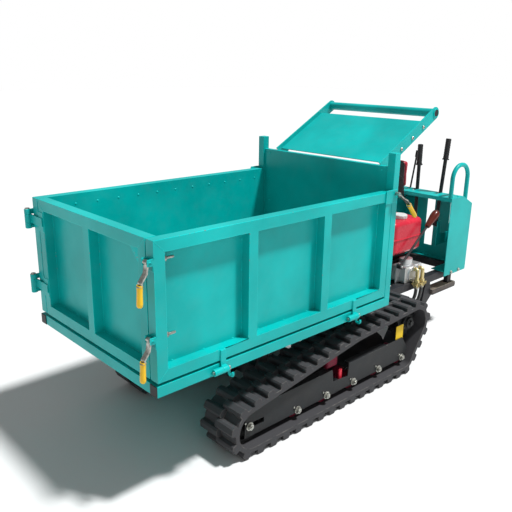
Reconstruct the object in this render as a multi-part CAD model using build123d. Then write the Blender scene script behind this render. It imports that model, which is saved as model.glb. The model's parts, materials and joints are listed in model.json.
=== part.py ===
"""Tracked power wheelbarrow: a mini crawler dumper with a drop-side tipping cargo bed.

Millimetres, +X towards the dumping end, +Y to the left, +Z up, ground at Z = 0.
The machine is laid out from the rear plane of the headboard (X = 0) and moved at
export, so that the row origin lies under the middle of its overall length.
"""

import os
from math import atan2, cos, degrees, hypot, pi, radians, sin, sqrt

from build123d import *

# ---------------------------------------------------------------- driving sizes
BED_LENGTH = 1200.0
BED_WIDTH = 800.0
BED_FRAME_BOTTOM = 399.0
BED_RAIL = 38.0
GATE_GAP = 10.0
GATE_HEIGHT = 455.0
GATE_TUBE = 40.0
GATE_FIT = 3.0
SHEET = 3.0
FLOOR_SHEET = 3.0

HEADBOARD_TOP = 997.0
POST_SIZE = 35.0
POST_TOP = 1055.0

COVER_INSET = 65.0
COVER_PLATE = 4.0
COVER_ARM_THICKNESS = 6.0
COVER_ARM_HALF = 27.0
COVER_FOOT = (-10.0, 985.0)
COVER_TUBE_CENTRE = (-385.0, 1192.0)
COVER_TUBE_RADIUS = 19.0
COVER_PLATE_START = 20.0
COVER_PLATE_END = 345.0
COVER_BOLT_STATIONS = (145.0, 233.0, 321.0)

SIDE_HINGE_OFFSET = 14.0
SIDE_HINGE_HEIGHT = 418.0
SIDE_HINGE_RADIUS = 12.0
SIDE_HINGE_STATIONS = (929.0, 236.0)
HINGE_PIN_RADIUS = 6.0
HINGE_TAB_WIDTH = 22.0
HINGE_KNUCKLE_LENGTH = 38.0
RUNNING_FIT = 0.05
SIDE_PLAY = 0.5

FRONT_HINGE_HEIGHTS = (818.0, 560.0)
FRONT_HINGE_SPAN = 74.0
FRONT_HINGE_REACH = 15.0
FRONT_HINGE_RADIUS = 12.0

LATCH_HEIGHTS = (838.0, 594.0)
LATCH_PIVOT_REACH = 14.0
LATCH_STRAP = 5.0
LATCH_STRAP_WIDTH = 20.0
GRIP_RADIUS = 11.0
LATCH_PIN_RADIUS = 4.0
STUD_RADIUS = 5.0
STUD_LENGTH = 80.0

TRACK_OUTER = 400.0
TRACK_WIDTH = 180.0
BELT_CARCASS = 18.0
LUG_HEIGHT = 22.0
LUG_COUNT = 40
LUG_LENGTH = 36.0
LUG_OVERLAP = 16.0
WHEEL_GAP = 0.5
IDLER_CENTRE = (786.0, 114.0)
ROLLER_STATIONS = (528.0, 354.0, 177.0, -2.0, -182.0)
ROLLER_RADIUS = 40.0
SPROCKET_CENTRE = (-242.0, 235.0)
SPROCKET_RADIUS = 76.0
CARRIER_CENTRE = (184.0, 258.0)
CARRIER_RADIUS = 27.0
ROLLER_AXLE_RADIUS = 12.0
IDLER_AXLE_RADIUS = 16.0
HALF_SHAFT_RADIUS = 16.0

FRAME_PLATE = 6.0
FRAME_PLATE_OUTER = 370.0
FRAME_PLATE_INNER = 250.0
RAIL_OUTER = 190.0
RAIL_WIDTH = 40.0
RAIL_BOTTOM = 290.0
RAIL_HEIGHT = 40.0
RAIL_FRONT = 800.0
RAIL_REAR = -985.0
CROSS_BEAM_STATIONS = (520.0, 60.0)
CROSS_BEAM_BOTTOM = 130.0
CROSS_BEAM_SIZE = 60.0

TIP_PIVOT = (780.0, 370.0)
TIP_PIN_RADIUS = 12.0
TIP_LUG_OFFSET = 120.0
CYLINDER_BASE = (580.0, 130.0)
CYLINDER_EYE = (640.0, 390.0)
CYLINDER_RADIUS = 28.0
CYLINDER_WALL = 5.0
ROD_RADIUS = 14.0
EYE_WIDTH = 24.0
EYE_RADIUS = 24.0
OPEN_PIVOT_PLAY = 7.5
CYLINDER_PIN_RADIUS = 8.0

CONSOLE_FRONT = -781.0
CONSOLE_REAR = -1000.0
CONSOLE_HALF_WIDTH = 212.0
CONSOLE_BOTTOM = 305.0
CONSOLE_TOP = 734.0
CONSOLE_CREST = -897.0
CONSOLE_REAR_TOP = 683.0
CONSOLE_SHEET = 4.0
LEVER_OFFSET = 71.0
LEVER_PIVOT_HEIGHT = 560.0
LEVER_PIN_RADIUS = 8.0
LEVER_RADIUS = 10.0
LEVER_GRIP_RADIUS = 14.0
LEVER_GRIP_LENGTH = 108.0
LEVER_FEET = ((-901.0, -930.0, 1023.0), (-891.0, -885.0, 982.0))
THROTTLE_OFFSET = -120.0
HANDLE_TUBE_RADIUS = 11.5
HANDLE_OFFSET = 196.0
HANDLE_FRONT = -793.0
HANDLE_REAR = -945.0
HANDLE_TOP = 902.0

CUSHION_Y = (-205.0, -92.0)
CUSHION_Z = (745.0, 896.0)
CUSHION_THICKNESS = 46.0
BACKING_PLATE = 5.0

TANK_X = (-662.0, -400.0)
TANK_HALF_WIDTH = 130.0
TANK_Z = (470.0, 641.0)
CAP_CENTRE = (-540.0, 62.0)
CAP_RADIUS = 37.0
ENGINE_BED = RAIL_BOTTOM + RAIL_HEIGHT
HEAD_TOP = 430.0
PUMP_X = (-600.0, -450.0)
PUMP_Y = (96.0, 192.0)
PUMP_Z = (ENGINE_BED, 448.0)
ELBOW_STATIONS = (-515.0, -560.0)
ELBOW_OFFSET = 212.0
HOSE_RADIUS = 9.0
FERRULE_END = 300.0
CABLE_RADIUS = 3.0
GEAR_PIVOT = (-430.0, 425.0)
GEAR_OFFSET = 160.0
GEAR_TIP = (-737.0, 666.0)

FOOT_REST_LENGTH = 235.0
FOOT_REST_WIDTH = 62.0
FOOT_REST_THICKNESS = 26.0
FOOT_REST_TOP = 238.0
FOOT_REST_OFFSET = 165.0
FOOT_REST_FRONT = -708.0

MACHINE_FRONT = 1251.0
MACHINE_REAR = -1006.0

# ---------------------------------------------------------------- derived sizes
HALF = BED_WIDTH / 2
COVER_HALF_WIDTH = HALF - POST_SIZE - COVER_INSET
RAIL_TOP = BED_FRAME_BOTTOM + BED_RAIL
GATE_BOTTOM = RAIL_TOP + GATE_GAP
GATE_TOP = GATE_BOTTOM + GATE_HEIGHT
FLOOR_TOP = RAIL_TOP + FLOOR_SHEET
GATE_REAR = POST_SIZE + GATE_FIT
GATE_FRONT = BED_LENGTH - GATE_FIT
SIDE_HINGE_Y = HALF + SIDE_HINGE_OFFSET
FRONT_GATE_HALF = HALF - GATE_TUBE - 4.0
FRONT_HINGE_X = GATE_FRONT + FRONT_HINGE_REACH
FRONT_HINGE_Y = -(HALF + 18.0)
TRACK_MIDDLE = TRACK_OUTER - TRACK_WIDTH / 2
BELT_THICKNESS = BELT_CARCASS + LUG_HEIGHT
IDLER_RADIUS = IDLER_CENTRE[1] - BELT_THICKNESS
ROLLER_HEIGHT = BELT_THICKNESS + ROLLER_RADIUS
SPACER_HEIGHT = ROLLER_HEIGHT + 25
RAIL_MIDDLE = RAIL_OUTER - RAIL_WIDTH / 2
ORIGIN_X = (MACHINE_FRONT + MACHINE_REAR) / 2
COVER_RUN = hypot(COVER_TUBE_CENTRE[0] - COVER_FOOT[0], COVER_TUBE_CENTRE[1] - COVER_FOOT[1])
COVER_SLOPE = degrees(atan2(COVER_TUBE_CENTRE[1] - COVER_FOOT[1], COVER_FOOT[0] - COVER_TUBE_CENTRE[0]))


# ---------------------------------------------------------------- shape helpers
def block(x0, x1, y0, y1, z0, z1):
    """Box between two corners."""
    centre = ((x0 + x1) / 2, (y0 + y1) / 2, (z0 + z1) / 2)
    return Pos(*centre) * Box(abs(x1 - x0), abs(y1 - y0), abs(z1 - z0))


def rod(start, end, radius):
    """Solid cylinder between two points."""
    base = Vector(*start)
    run = Vector(*end) - base
    return Plane(origin=base, z_dir=run.normalized()) * Cylinder(
        radius, run.length, align=(Align.CENTER, Align.CENTER, Align.MIN))


def hexagon(start, end, across_flats):
    """Hexagonal prism between two points, for nuts and bolt heads."""
    base = Vector(*start)
    run = Vector(*end) - base
    plane = Plane(origin=base, z_dir=run.normalized())
    return extrude(plane * RegularPolygon(across_flats / sqrt(3), 6), run.length)


def side_profile(points, y0, y1):
    """Polygon given as (x, z) points, as a slab between two y values."""
    face = make_face(Polyline(*[(x, y0, z) for x, z in points], close=True))
    return extrude(face, abs(y1 - y0), dir=(0, 1 if y1 > y0 else -1, 0))


def bent_tube(points, radii, radius):
    """Tube along a polyline with rounded corners."""
    path = FilletPolyline(*points, radius=radii)
    start = path @ 0
    section = Plane(origin=start, z_dir=path % 0) * Circle(radius)
    return sweep(section, path)


def mirrored(shape):
    """The same shape on the other side of the machine."""
    return mirror(shape, about=Plane.XZ)


def both_sides(shape):
    return [shape, mirrored(shape)]


def fused(first, *others):
    """One solid from several that meet."""
    result = first
    for other in others:
        result = result + other
    return result


def save(node, *shapes):
    """Write one named piece, moved to the row origin."""
    solids = []
    for shape in shapes:
        solids.extend((Pos(-ORIGIN_X, 0, 0) * shape).solids())
    piece = solids[0] if len(solids) == 1 else Compound(children=solids)
    export_step(piece, f"parts/{node}.step")


# ---------------------------------------------------------------- cargo bed
def bed_frame():
    """Welded rail frame with floor, tipping lugs, hinge knuckles and rope hooks."""
    inner = HALF - BED_RAIL
    frame = fused(
        *[block(0, BED_LENGTH, side * inner, side * HALF, BED_FRAME_BOTTOM, RAIL_TOP) for side in (1, -1)],
        block(BED_LENGTH - BED_RAIL, BED_LENGTH, -inner, inner, BED_FRAME_BOTTOM, RAIL_TOP),
        block(0, BED_RAIL, -inner, inner, BED_FRAME_BOTTOM, RAIL_TOP),
        *[block(x - BED_RAIL / 2, x + BED_RAIL / 2, -inner, inner, BED_FRAME_BOTTOM, RAIL_TOP)
          for x in (240.0, 520.0, TIP_PIVOT[0])],
        block(POST_SIZE - 5, GATE_FRONT - GATE_TUBE - 2, 2 - HALF + GATE_TUBE, HALF - GATE_TUBE - 2,
              RAIL_TOP, FLOOR_TOP),
    )
    for side in (1, -1):
        lug_y = side * TIP_LUG_OFFSET
        lug = side_profile([(TIP_PIVOT[0] - 30, BED_FRAME_BOTTOM), (TIP_PIVOT[0] - 20, TIP_PIVOT[1] - 12),
                            (TIP_PIVOT[0] + 20, TIP_PIVOT[1] - 12), (TIP_PIVOT[0] + 30, BED_FRAME_BOTTOM)],
                           lug_y - 5, lug_y + 5)
        pin = rod((TIP_PIVOT[0], lug_y - 25, TIP_PIVOT[1]), (TIP_PIVOT[0], lug_y + 25, TIP_PIVOT[1]),
                  TIP_PIN_RADIUS)
        frame = fused(frame, lug, pin)
        eye_y = side * (EYE_WIDTH / 2 + 8)
        ear = side_profile([(CYLINDER_EYE[0] - 28, RAIL_TOP - 4),
                            (CYLINDER_EYE[0] - 18, CYLINDER_EYE[1] - 16),
                            (CYLINDER_EYE[0] + 18, CYLINDER_EYE[1] - 16), (CYLINDER_EYE[0] + 28,
                                                                           RAIL_TOP - 4)],
                           eye_y - 4, eye_y + 4)
        frame = fused(frame, ear)
    frame = fused(frame, rod((CYLINDER_EYE[0], -EYE_WIDTH, CYLINDER_EYE[1]),
                             (CYLINDER_EYE[0], EYE_WIDTH, CYLINDER_EYE[1]), CYLINDER_PIN_RADIUS),
                  block(520.0, TIP_PIVOT[0], -EYE_WIDTH, EYE_WIDTH, RAIL_TOP - 8, RAIL_TOP))
    for side in (1, -1):
        for station in SIDE_HINGE_STATIONS:
            start = station + HINGE_TAB_WIDTH + SIDE_PLAY
            knuckle = rod((start, side * SIDE_HINGE_Y, SIDE_HINGE_HEIGHT),
                          (start + HINGE_KNUCKLE_LENGTH, side * SIDE_HINGE_Y, SIDE_HINGE_HEIGHT),
                          SIDE_HINGE_RADIUS)
            web = block(start, start + HINGE_KNUCKLE_LENGTH, side * (HALF - 1), side * SIDE_HINGE_Y,
                        SIDE_HINGE_HEIGHT - SIDE_HINGE_RADIUS, SIDE_HINGE_HEIGHT)
            hook = bent_tube([(station - 30, side * (HALF - 14), BED_FRAME_BOTTOM + 1),
                              (station - 30, side * (HALF - 14), BED_FRAME_BOTTOM - 26),
                              (station - 30, side * (HALF + 6), BED_FRAME_BOTTOM - 26),
                              (station - 30, side * (HALF + 6), BED_FRAME_BOTTOM - 12)], 6.0, 5.0)
            frame = fused(frame, knuckle, web, hook)
            bore = rod((start - 1, side * SIDE_HINGE_Y, SIDE_HINGE_HEIGHT),
                       (start + HINGE_KNUCKLE_LENGTH + 1, side * SIDE_HINGE_Y, SIDE_HINGE_HEIGHT),
                       HINGE_PIN_RADIUS)
            frame = frame - bore
    return frame


def side_hinge_pins():
    """Pins held by the fixed knuckles, one at each drop-side hinge."""
    pins = []
    for side in (1, -1):
        for station in SIDE_HINGE_STATIONS:
            shank = rod((station - 3, side * SIDE_HINGE_Y, SIDE_HINGE_HEIGHT),
                        (station + HINGE_TAB_WIDTH + SIDE_PLAY + HINGE_KNUCKLE_LENGTH + 3,
                         side * SIDE_HINGE_Y, SIDE_HINGE_HEIGHT), HINGE_PIN_RADIUS)
            head = rod((station - 7, side * SIDE_HINGE_Y, SIDE_HINGE_HEIGHT),
                       (station - 3, side * SIDE_HINGE_Y, SIDE_HINGE_HEIGHT), HINGE_PIN_RADIUS + 3)
            pins.append(shank + head)
    return pins


def headboard():
    """Fixed front wall of the bed behind the engine: two posts, a sheet and stiffeners."""
    inner = HALF - POST_SIZE
    parts = [block(0, POST_SIZE, side * inner, side * HALF, RAIL_TOP, POST_TOP) for side in (1, -1)]
    parts.append(block(POST_SIZE - 13, POST_SIZE - 10, -inner, inner, RAIL_TOP, HEADBOARD_TOP))
    parts.append(block(0, POST_SIZE - 10, -inner, inner, HEADBOARD_TOP - 24, HEADBOARD_TOP))
    parts.append(block(0, POST_SIZE - 10, -inner, inner, RAIL_TOP, RAIL_TOP + 24))
    for y in (-COVER_HALF_WIDTH + 24, 0, COVER_HALF_WIDTH - 24):
        parts.append(block(0, POST_SIZE - 10, y - 15, y + 15, RAIL_TOP, HEADBOARD_TOP))
    return fused(*parts)


def cover_point(station, lift=0.0):
    """Point on the cover's slope: distance up the slope and height above its centre line."""
    a = radians(COVER_SLOPE)
    return (COVER_FOOT[0] - station * cos(a) + lift * sin(a),
            COVER_FOOT[1] + station * sin(a) + lift * cos(a))


def cover_panel():
    """Sloped sheet with folded edges that carry the side arms."""
    lift = 9.0
    skin = side_profile([cover_point(COVER_PLATE_START, lift), cover_point(COVER_PLATE_END, lift),
                         cover_point(COVER_PLATE_END, lift - COVER_PLATE),
                         cover_point(COVER_PLATE_START, lift - COVER_PLATE)],
                        -COVER_HALF_WIDTH, COVER_HALF_WIDTH)
    fold = side_profile([cover_point(COVER_PLATE_START + 40, lift), cover_point(COVER_PLATE_END, lift),
                         cover_point(COVER_PLATE_END, lift - 30), cover_point(COVER_PLATE_START + 40,
                                                                              lift - 30)],
                        COVER_HALF_WIDTH - COVER_PLATE, COVER_HALF_WIDTH)
    return fused(skin, fold, mirrored(fold))


def cover_frame():
    """Two flat arms bolted to the headboard, joined by the grab tube at the upper end."""
    y0 = COVER_HALF_WIDTH
    y1 = COVER_HALF_WIDTH + COVER_ARM_THICKNESS
    lower = cover_point(0)
    bar = side_profile([cover_point(-8, COVER_ARM_HALF), cover_point(COVER_RUN, COVER_ARM_HALF),
                        cover_point(COVER_RUN, -COVER_ARM_HALF), cover_point(60, -COVER_ARM_HALF),
                        (lower[0] + 9, lower[1] - 75), (lower[0] + 9, lower[1] + 12)], y0, y1)
    end = rod((COVER_TUBE_CENTRE[0], y0, COVER_TUBE_CENTRE[1]),
              (COVER_TUBE_CENTRE[0], y1, COVER_TUBE_CENTRE[1]),
              COVER_ARM_HALF)
    arm = bar + end
    tube = rod((COVER_TUBE_CENTRE[0], -y1 - 5, COVER_TUBE_CENTRE[1]),
               (COVER_TUBE_CENTRE[0], y1 + 5, COVER_TUBE_CENTRE[1]), COVER_TUBE_RADIUS)
    bore = rod((COVER_TUBE_CENTRE[0], -y1 - 6, COVER_TUBE_CENTRE[1]),
               (COVER_TUBE_CENTRE[0], y1 + 6, COVER_TUBE_CENTRE[1]), COVER_TUBE_RADIUS - 3)
    foot = block(-18, 0, y0 - 40, y1, COVER_FOOT[1] - 75, COVER_FOOT[1] - 10)
    return fused(arm, mirrored(arm), foot, mirrored(foot), tube) - bore


def cover_bolts():
    """Button-head bolts through the arms into the cover's folded edges."""
    bolts = []
    for station in COVER_BOLT_STATIONS:
        x, z = cover_point(station, -6)
        y = COVER_HALF_WIDTH + COVER_ARM_THICKNESS
        head = rod((x, y, z), (x, y + 5, z), 8.0)
        bolts.extend(both_sides(fillet(head.edges().sort_by(Axis.Y)[-1], 3.0)))
    return bolts


def tube_end_caps():
    """Black plastic plugs in the open ends of the bed rails and the cover tube."""
    caps = []
    middle = HALF - BED_RAIL / 2
    height = BED_FRAME_BOTTOM + BED_RAIL / 2
    cap = Pos(BED_LENGTH + 1.5, middle, height) * Box(3, BED_RAIL, BED_RAIL)
    caps.extend(both_sides(chamfer(cap.faces().sort_by(Axis.X)[-1].edges(), 1.2)))
    end = COVER_HALF_WIDTH + COVER_ARM_THICKNESS + 5
    plug = rod((COVER_TUBE_CENTRE[0], end - 12, COVER_TUBE_CENTRE[1]),
               (COVER_TUBE_CENTRE[0], end - 1, COVER_TUBE_CENTRE[1]), COVER_TUBE_RADIUS - 3)
    caps.extend(both_sides(plug))
    return caps


# ---------------------------------------------------------------- gates
def gate_panel(length, stiffeners):
    """Tube frame lying along X from 0 to length, outer face at y = 0, bottom at z = 0."""
    t = GATE_TUBE
    parts = [
        block(0, length, -t, 0, 0, t),
        block(0, length, -t, 0, GATE_HEIGHT - t, GATE_HEIGHT),
        block(0, t, -t, 0, t, GATE_HEIGHT - t),
        block(length - t, length, -t, 0, t, GATE_HEIGHT - t),
        block(t, length - t, -t, SHEET - t, t, GATE_HEIGHT - t),
    ]
    for x in stiffeners:
        parts.append(block(x - t / 2, x + t / 2, -t, 0, t, GATE_HEIGHT - t))
    return fused(*parts)


def side_gate():
    """Left drop side with its hinge tabs and latch brackets; the right one mirrors its frame."""
    length = GATE_FRONT - GATE_REAR
    bay = (length - GATE_TUBE) / 3
    gate = Pos(GATE_REAR, HALF, GATE_BOTTOM) * gate_panel(
        length, [GATE_TUBE / 2 + bay, GATE_TUBE / 2 + 2 * bay])
    for station in SIDE_HINGE_STATIONS:
        tab = block(station, station + HINGE_TAB_WIDTH, HALF, HALF + 6, SIDE_HINGE_HEIGHT, GATE_BOTTOM + 38)
        web = block(station, station + HINGE_TAB_WIDTH, HALF, SIDE_HINGE_Y, SIDE_HINGE_HEIGHT,
                    SIDE_HINGE_HEIGHT + SIDE_HINGE_RADIUS)
        knuckle = rod((station, SIDE_HINGE_Y, SIDE_HINGE_HEIGHT),
                      (station + HINGE_TAB_WIDTH, SIDE_HINGE_Y, SIDE_HINGE_HEIGHT), SIDE_HINGE_RADIUS)
        bore = rod((station - 1, SIDE_HINGE_Y, SIDE_HINGE_HEIGHT),
                   (station + HINGE_TAB_WIDTH + 1, SIDE_HINGE_Y, SIDE_HINGE_HEIGHT),
                   HINGE_PIN_RADIUS + RUNNING_FIT)
        rail_relief = block(station - 1, station + HINGE_TAB_WIDTH + 1, HALF - 20, HALF + 0.6,
                            SIDE_HINGE_HEIGHT - 20, GATE_BOTTOM)
        gate = fused(gate, tab, web, knuckle) - bore - rail_relief
    return gate + rear_latch_plate()


def rear_latch_plate():
    """Keeper plate over the joint with the headboard post, with the latch's pivot pin."""
    x, z = rear_latch_pivot()
    plate = block(x - 20, GATE_REAR + 46, HALF + 0.4, HALF + 5.4, GATE_TOP - 46, GATE_TOP + 8)
    rest = block(GATE_REAR, GATE_REAR + 46, HALF - 1, HALF + 1, GATE_TOP - 46, GATE_TOP - 4)
    pin = rod((x, HALF + 4, z), (x, HALF + 29, z), LATCH_PIN_RADIUS)
    return fused(plate, rest, pin)


def rear_latch_pivot():
    return POST_SIZE / 2 + 10, GATE_TOP - 8


def front_latch_bracket(height):
    """U bracket on the front post that carries a latch pin."""
    x = GATE_FRONT + LATCH_PIVOT_REACH
    y = HALF - 16
    ears = [block(GATE_FRONT, x + 8, y + s * 14 - 2, y + s * 14 + 2, height - 11,
                  height + 11) for s in (1, -1)]
    web = block(GATE_FRONT, GATE_FRONT + 3, y - 16, y + 16, height - 30, height + 11)
    pin = rod((x, y - 19, height), (x, y + 19, height), LATCH_PIN_RADIUS)
    return fused(web, *ears, pin)


def left_gate():
    return fused(side_gate(), *[front_latch_bracket(height) for height in LATCH_HEIGHTS])


def front_hinge_bracket(height):
    """Fixed knuckle pair on the right post's outer face, for the front gate."""
    low = height - FRONT_HINGE_SPAN / 2
    parts = []
    for z0, z1 in ((low, low + 20), (low + FRONT_HINGE_SPAN - 20, low + FRONT_HINGE_SPAN)):
        parts.append(rod((FRONT_HINGE_X, FRONT_HINGE_Y, z0), (FRONT_HINGE_X, FRONT_HINGE_Y, z1),
                         FRONT_HINGE_RADIUS))
        parts.append(block(GATE_FRONT - 50, FRONT_HINGE_X, FRONT_HINGE_Y - 2, FRONT_HINGE_Y + 4, z0, z1))
    parts.append(block(GATE_FRONT - 50, GATE_FRONT - 20, FRONT_HINGE_Y - 2, -HALF, low,
                       low + FRONT_HINGE_SPAN))
    bore = rod((FRONT_HINGE_X, FRONT_HINGE_Y, low - 1),
               (FRONT_HINGE_X, FRONT_HINGE_Y, low + FRONT_HINGE_SPAN + 1), HINGE_PIN_RADIUS)
    return fused(*parts) - bore


def front_hinge_pins():
    pins = []
    for height in FRONT_HINGE_HEIGHTS:
        low = height - FRONT_HINGE_SPAN / 2
        shank = rod((FRONT_HINGE_X, FRONT_HINGE_Y, low),
                    (FRONT_HINGE_X, FRONT_HINGE_Y, low + FRONT_HINGE_SPAN),
                    HINGE_PIN_RADIUS)
        head = rod((FRONT_HINGE_X, FRONT_HINGE_Y, low + FRONT_HINGE_SPAN),
                   (FRONT_HINGE_X, FRONT_HINGE_Y, low + FRONT_HINGE_SPAN + 4), HINGE_PIN_RADIUS + 3)
        pins.append(shank + head)
    return pins


def right_gate():
    return fused(mirrored(side_gate()), *[front_hinge_bracket(height) for height in FRONT_HINGE_HEIGHTS])


def front_gate():
    """Swinging front gate between the side gates, with straps to its outboard hinges."""
    width = 2 * FRONT_GATE_HALF
    panel = gate_panel(width, [width / 2])
    gate = Pos(GATE_FRONT, FRONT_GATE_HALF, GATE_BOTTOM) * (Rot(0, 0, -90) * panel)
    for height in FRONT_HINGE_HEIGHTS:
        low = height - FRONT_HINGE_SPAN / 2 + 20 + SIDE_PLAY
        high = height + FRONT_HINGE_SPAN / 2 - 20 - SIDE_PLAY
        knuckle = rod((FRONT_HINGE_X, FRONT_HINGE_Y, low), (FRONT_HINGE_X, FRONT_HINGE_Y, high),
                      FRONT_HINGE_RADIUS)
        strap = block(GATE_FRONT + 2, GATE_FRONT + 8, FRONT_HINGE_Y, 38 - FRONT_GATE_HALF, low, high)
        spacer = block(GATE_FRONT, GATE_FRONT + 3, -FRONT_GATE_HALF + 2, 38 - FRONT_GATE_HALF,
                       height - FRONT_HINGE_SPAN / 2, height + FRONT_HINGE_SPAN / 2)
        bore = rod((FRONT_HINGE_X, FRONT_HINGE_Y, low - 1), (FRONT_HINGE_X, FRONT_HINGE_Y, high + 1),
                   HINGE_PIN_RADIUS + RUNNING_FIT)
        gate = fused(gate, knuckle, strap, spacer) - bore
    return gate


def latch_studs():
    """Threaded draw studs behind the front post, each with a washer and a hex nut."""
    studs = []
    y = HALF - 16
    face = GATE_FRONT - GATE_TUBE
    for height in LATCH_HEIGHTS:
        shank = rod((face, y, height), (face - STUD_LENGTH, y, height), STUD_RADIUS)
        washer = rod((face, y, height), (face - 2.5, y, height), 12.0)
        nut = hexagon((face - 2, y, height), (face - 12, y, height), 17.0)
        far_nut = hexagon((face - STUD_LENGTH + 14, y, height), (face - STUD_LENGTH + 4, y, height), 17.0)
        studs.append(fused(shank, washer, nut, far_nut))
    return studs


def strap_lever(points, y, pivot, grip_from, grip_to):
    """Flat bent strap with a round eye at its pivot, and the grip sleeve on its other end."""
    half = LATCH_STRAP_WIDTH / 2
    strap = None
    for (xa, za), (xb, zb) in zip(points, points[1:]):
        length = hypot(xb - xa, zb - za)
        piece = Pos((xa + xb) / 2, y, (za + zb) / 2) * Rot(0, degrees(atan2(-(zb - za), xb - xa)), 0) * Box(
            length + LATCH_STRAP * 0.8, 2 * half, LATCH_STRAP)
        strap = piece if strap is None else strap + piece
    eye = rod((pivot[0], y - half, pivot[1]), (pivot[0], y + half, pivot[1]), LATCH_PIN_RADIUS + 4)
    bore = rod((pivot[0], y - half - 1, pivot[1]), (pivot[0], y + half + 1, pivot[1]),
               LATCH_PIN_RADIUS + RUNNING_FIT)
    strap = strap + eye - bore
    grip = rod((grip_from[0], y, grip_from[1]), (grip_to[0], y, grip_to[1]), GRIP_RADIUS)
    grip = fillet(grip.edges(), 4.0)
    sleeve_cut = strap & grip
    return [strap - grip, grip] if sleeve_cut else [strap, grip]


def front_latch(height):
    """Lever hanging in front of the post, its grip standing off the gate."""
    x = GATE_FRONT + LATCH_PIVOT_REACH
    points = [(x, height), (x + 6, height - 34), (x + 24, height - 58), (x + 26, height - 80)]
    return strap_lever(points, HALF - 16, (x, height), (x + 26, height - 66), (x + 29, height - 134))


def rear_latch():
    """Lever lying down and back beside the headboard post."""
    x, z = rear_latch_pivot()
    points = [(x, z), (x - 34, z - 22), (x - 62, z - 34), (x - 90, z - 60)]
    return strap_lever(points, HALF + 19, (x, z), (x - 84, z - 54), (x - 142, z - 116))


# ---------------------------------------------------------------- tracks
def belt_circles(offset):
    """Wrap circles (x, z, radius) of a belt line that lies offset outside the inner face."""
    return [
        (*IDLER_CENTRE, IDLER_RADIUS + offset),
        (*CARRIER_CENTRE, CARRIER_RADIUS + offset),
        (*SPROCKET_CENTRE, SPROCKET_RADIUS + offset),
        (ROLLER_STATIONS[-1], ROLLER_HEIGHT, ROLLER_RADIUS + offset),
    ]


def belt_spans(offset):
    """Arc and straight spans of the loop: (centre, radius, start angle, end angle) per wheel."""
    circles = belt_circles(offset)
    normals = []
    for (xa, za, ra), (xb, zb, rb) in zip(circles, circles[1:] + circles[:1]):
        length = hypot(xb - xa, zb - za)
        ux, uz = (xb - xa) / length, (zb - za) / length
        s = (ra - rb) / length
        c = sqrt(1 - s * s)
        normals.append(atan2(-c * ux + s * uz, c * uz + s * ux))
    spans = []
    for index, (x, z, r) in enumerate(circles):
        start = normals[index - 1]
        end = normals[index]
        while end < start:
            end += 2 * pi
        spans.append((x, z, r, start, end))
    return spans


def belt_face(offset, y):
    """Filled outline of the belt loop in the plane of the given y."""
    spans = belt_spans(offset)
    edges = []
    for index, (x, z, r, start, end) in enumerate(spans):
        def on_circle(angle):
            return (x + r * cos(angle), y, z + r * sin(angle))
        edges.append(ThreePointArc(on_circle(start), on_circle((start + end) / 2), on_circle(end)))
        nx, nz, nr, next_start, _ = spans[(index + 1) % len(spans)]
        edges.append(Line(on_circle(end), (nx + nr * cos(next_start), y, nz + nr * sin(next_start))))
    return make_face(edges)


def belt_length(offset):
    """Length of the closed loop."""
    spans = belt_spans(offset)
    total = 0.0
    for index, (x, z, r, start, end) in enumerate(spans):
        nx, nz, nr, next_start, _ = spans[(index + 1) % len(spans)]
        total += r * (end - start)
        total += hypot(nx + nr * cos(next_start) - x - r * cos(end),
                       nz + nr * sin(next_start) - z - r * sin(end))
    return total


def belt_station(distance, offset):
    """Position and outward normal angle at a distance along the loop."""
    spans = belt_spans(offset)
    for index, (x, z, r, start, end) in enumerate(spans):
        arc = r * (end - start)
        if distance <= arc:
            angle = start + distance / r
            return x + r * cos(angle), z + r * sin(angle), angle
        distance -= arc
        nx, nz, nr, next_start, _ = spans[(index + 1) % len(spans)]
        ax, az = x + r * cos(end), z + r * sin(end)
        bx, bz = nx + nr * cos(next_start), nz + nr * sin(next_start)
        run = hypot(bx - ax, bz - az)
        if distance <= run:
            share = distance / run
            return ax + (bx - ax) * share, az + (bz - az) * share, end
        distance -= run
    return belt_station(0.0, offset)


def track_belt():
    """Left rubber track: a smooth carcass with two rows of staggered ground lugs."""
    inner = TRACK_OUTER - TRACK_WIDTH
    carcass = extrude(belt_face(BELT_CARCASS, inner), TRACK_WIDTH, dir=(0, 1, 0))
    hollow = extrude(belt_face(0.0, inner - 1), TRACK_WIDTH + 2, dir=(0, 1, 0))
    total = belt_length(BELT_CARCASS)
    width = (TRACK_WIDTH + LUG_OVERLAP) / 2
    lugs = []
    for index in range(2 * LUG_COUNT):
        x, z, angle = belt_station(total * index / (2 * LUG_COUNT), BELT_CARCASS)
        y = TRACK_OUTER - width / 2 if index % 2 else inner + width / 2
        bite = 4.0
        body = Box(LUG_HEIGHT + bite, width, LUG_LENGTH)
        lug = chamfer(body.faces().sort_by(Axis.X)[-1].edges().filter_by(Axis.Y), 7.0)
        lugs.append(Pos(x, y, z) * Rot(0, -degrees(angle), 0) * Pos((LUG_HEIGHT - bite) / 2, 0, 0) * lug)
    return (carcass - hollow).fuse(*lugs)


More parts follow.
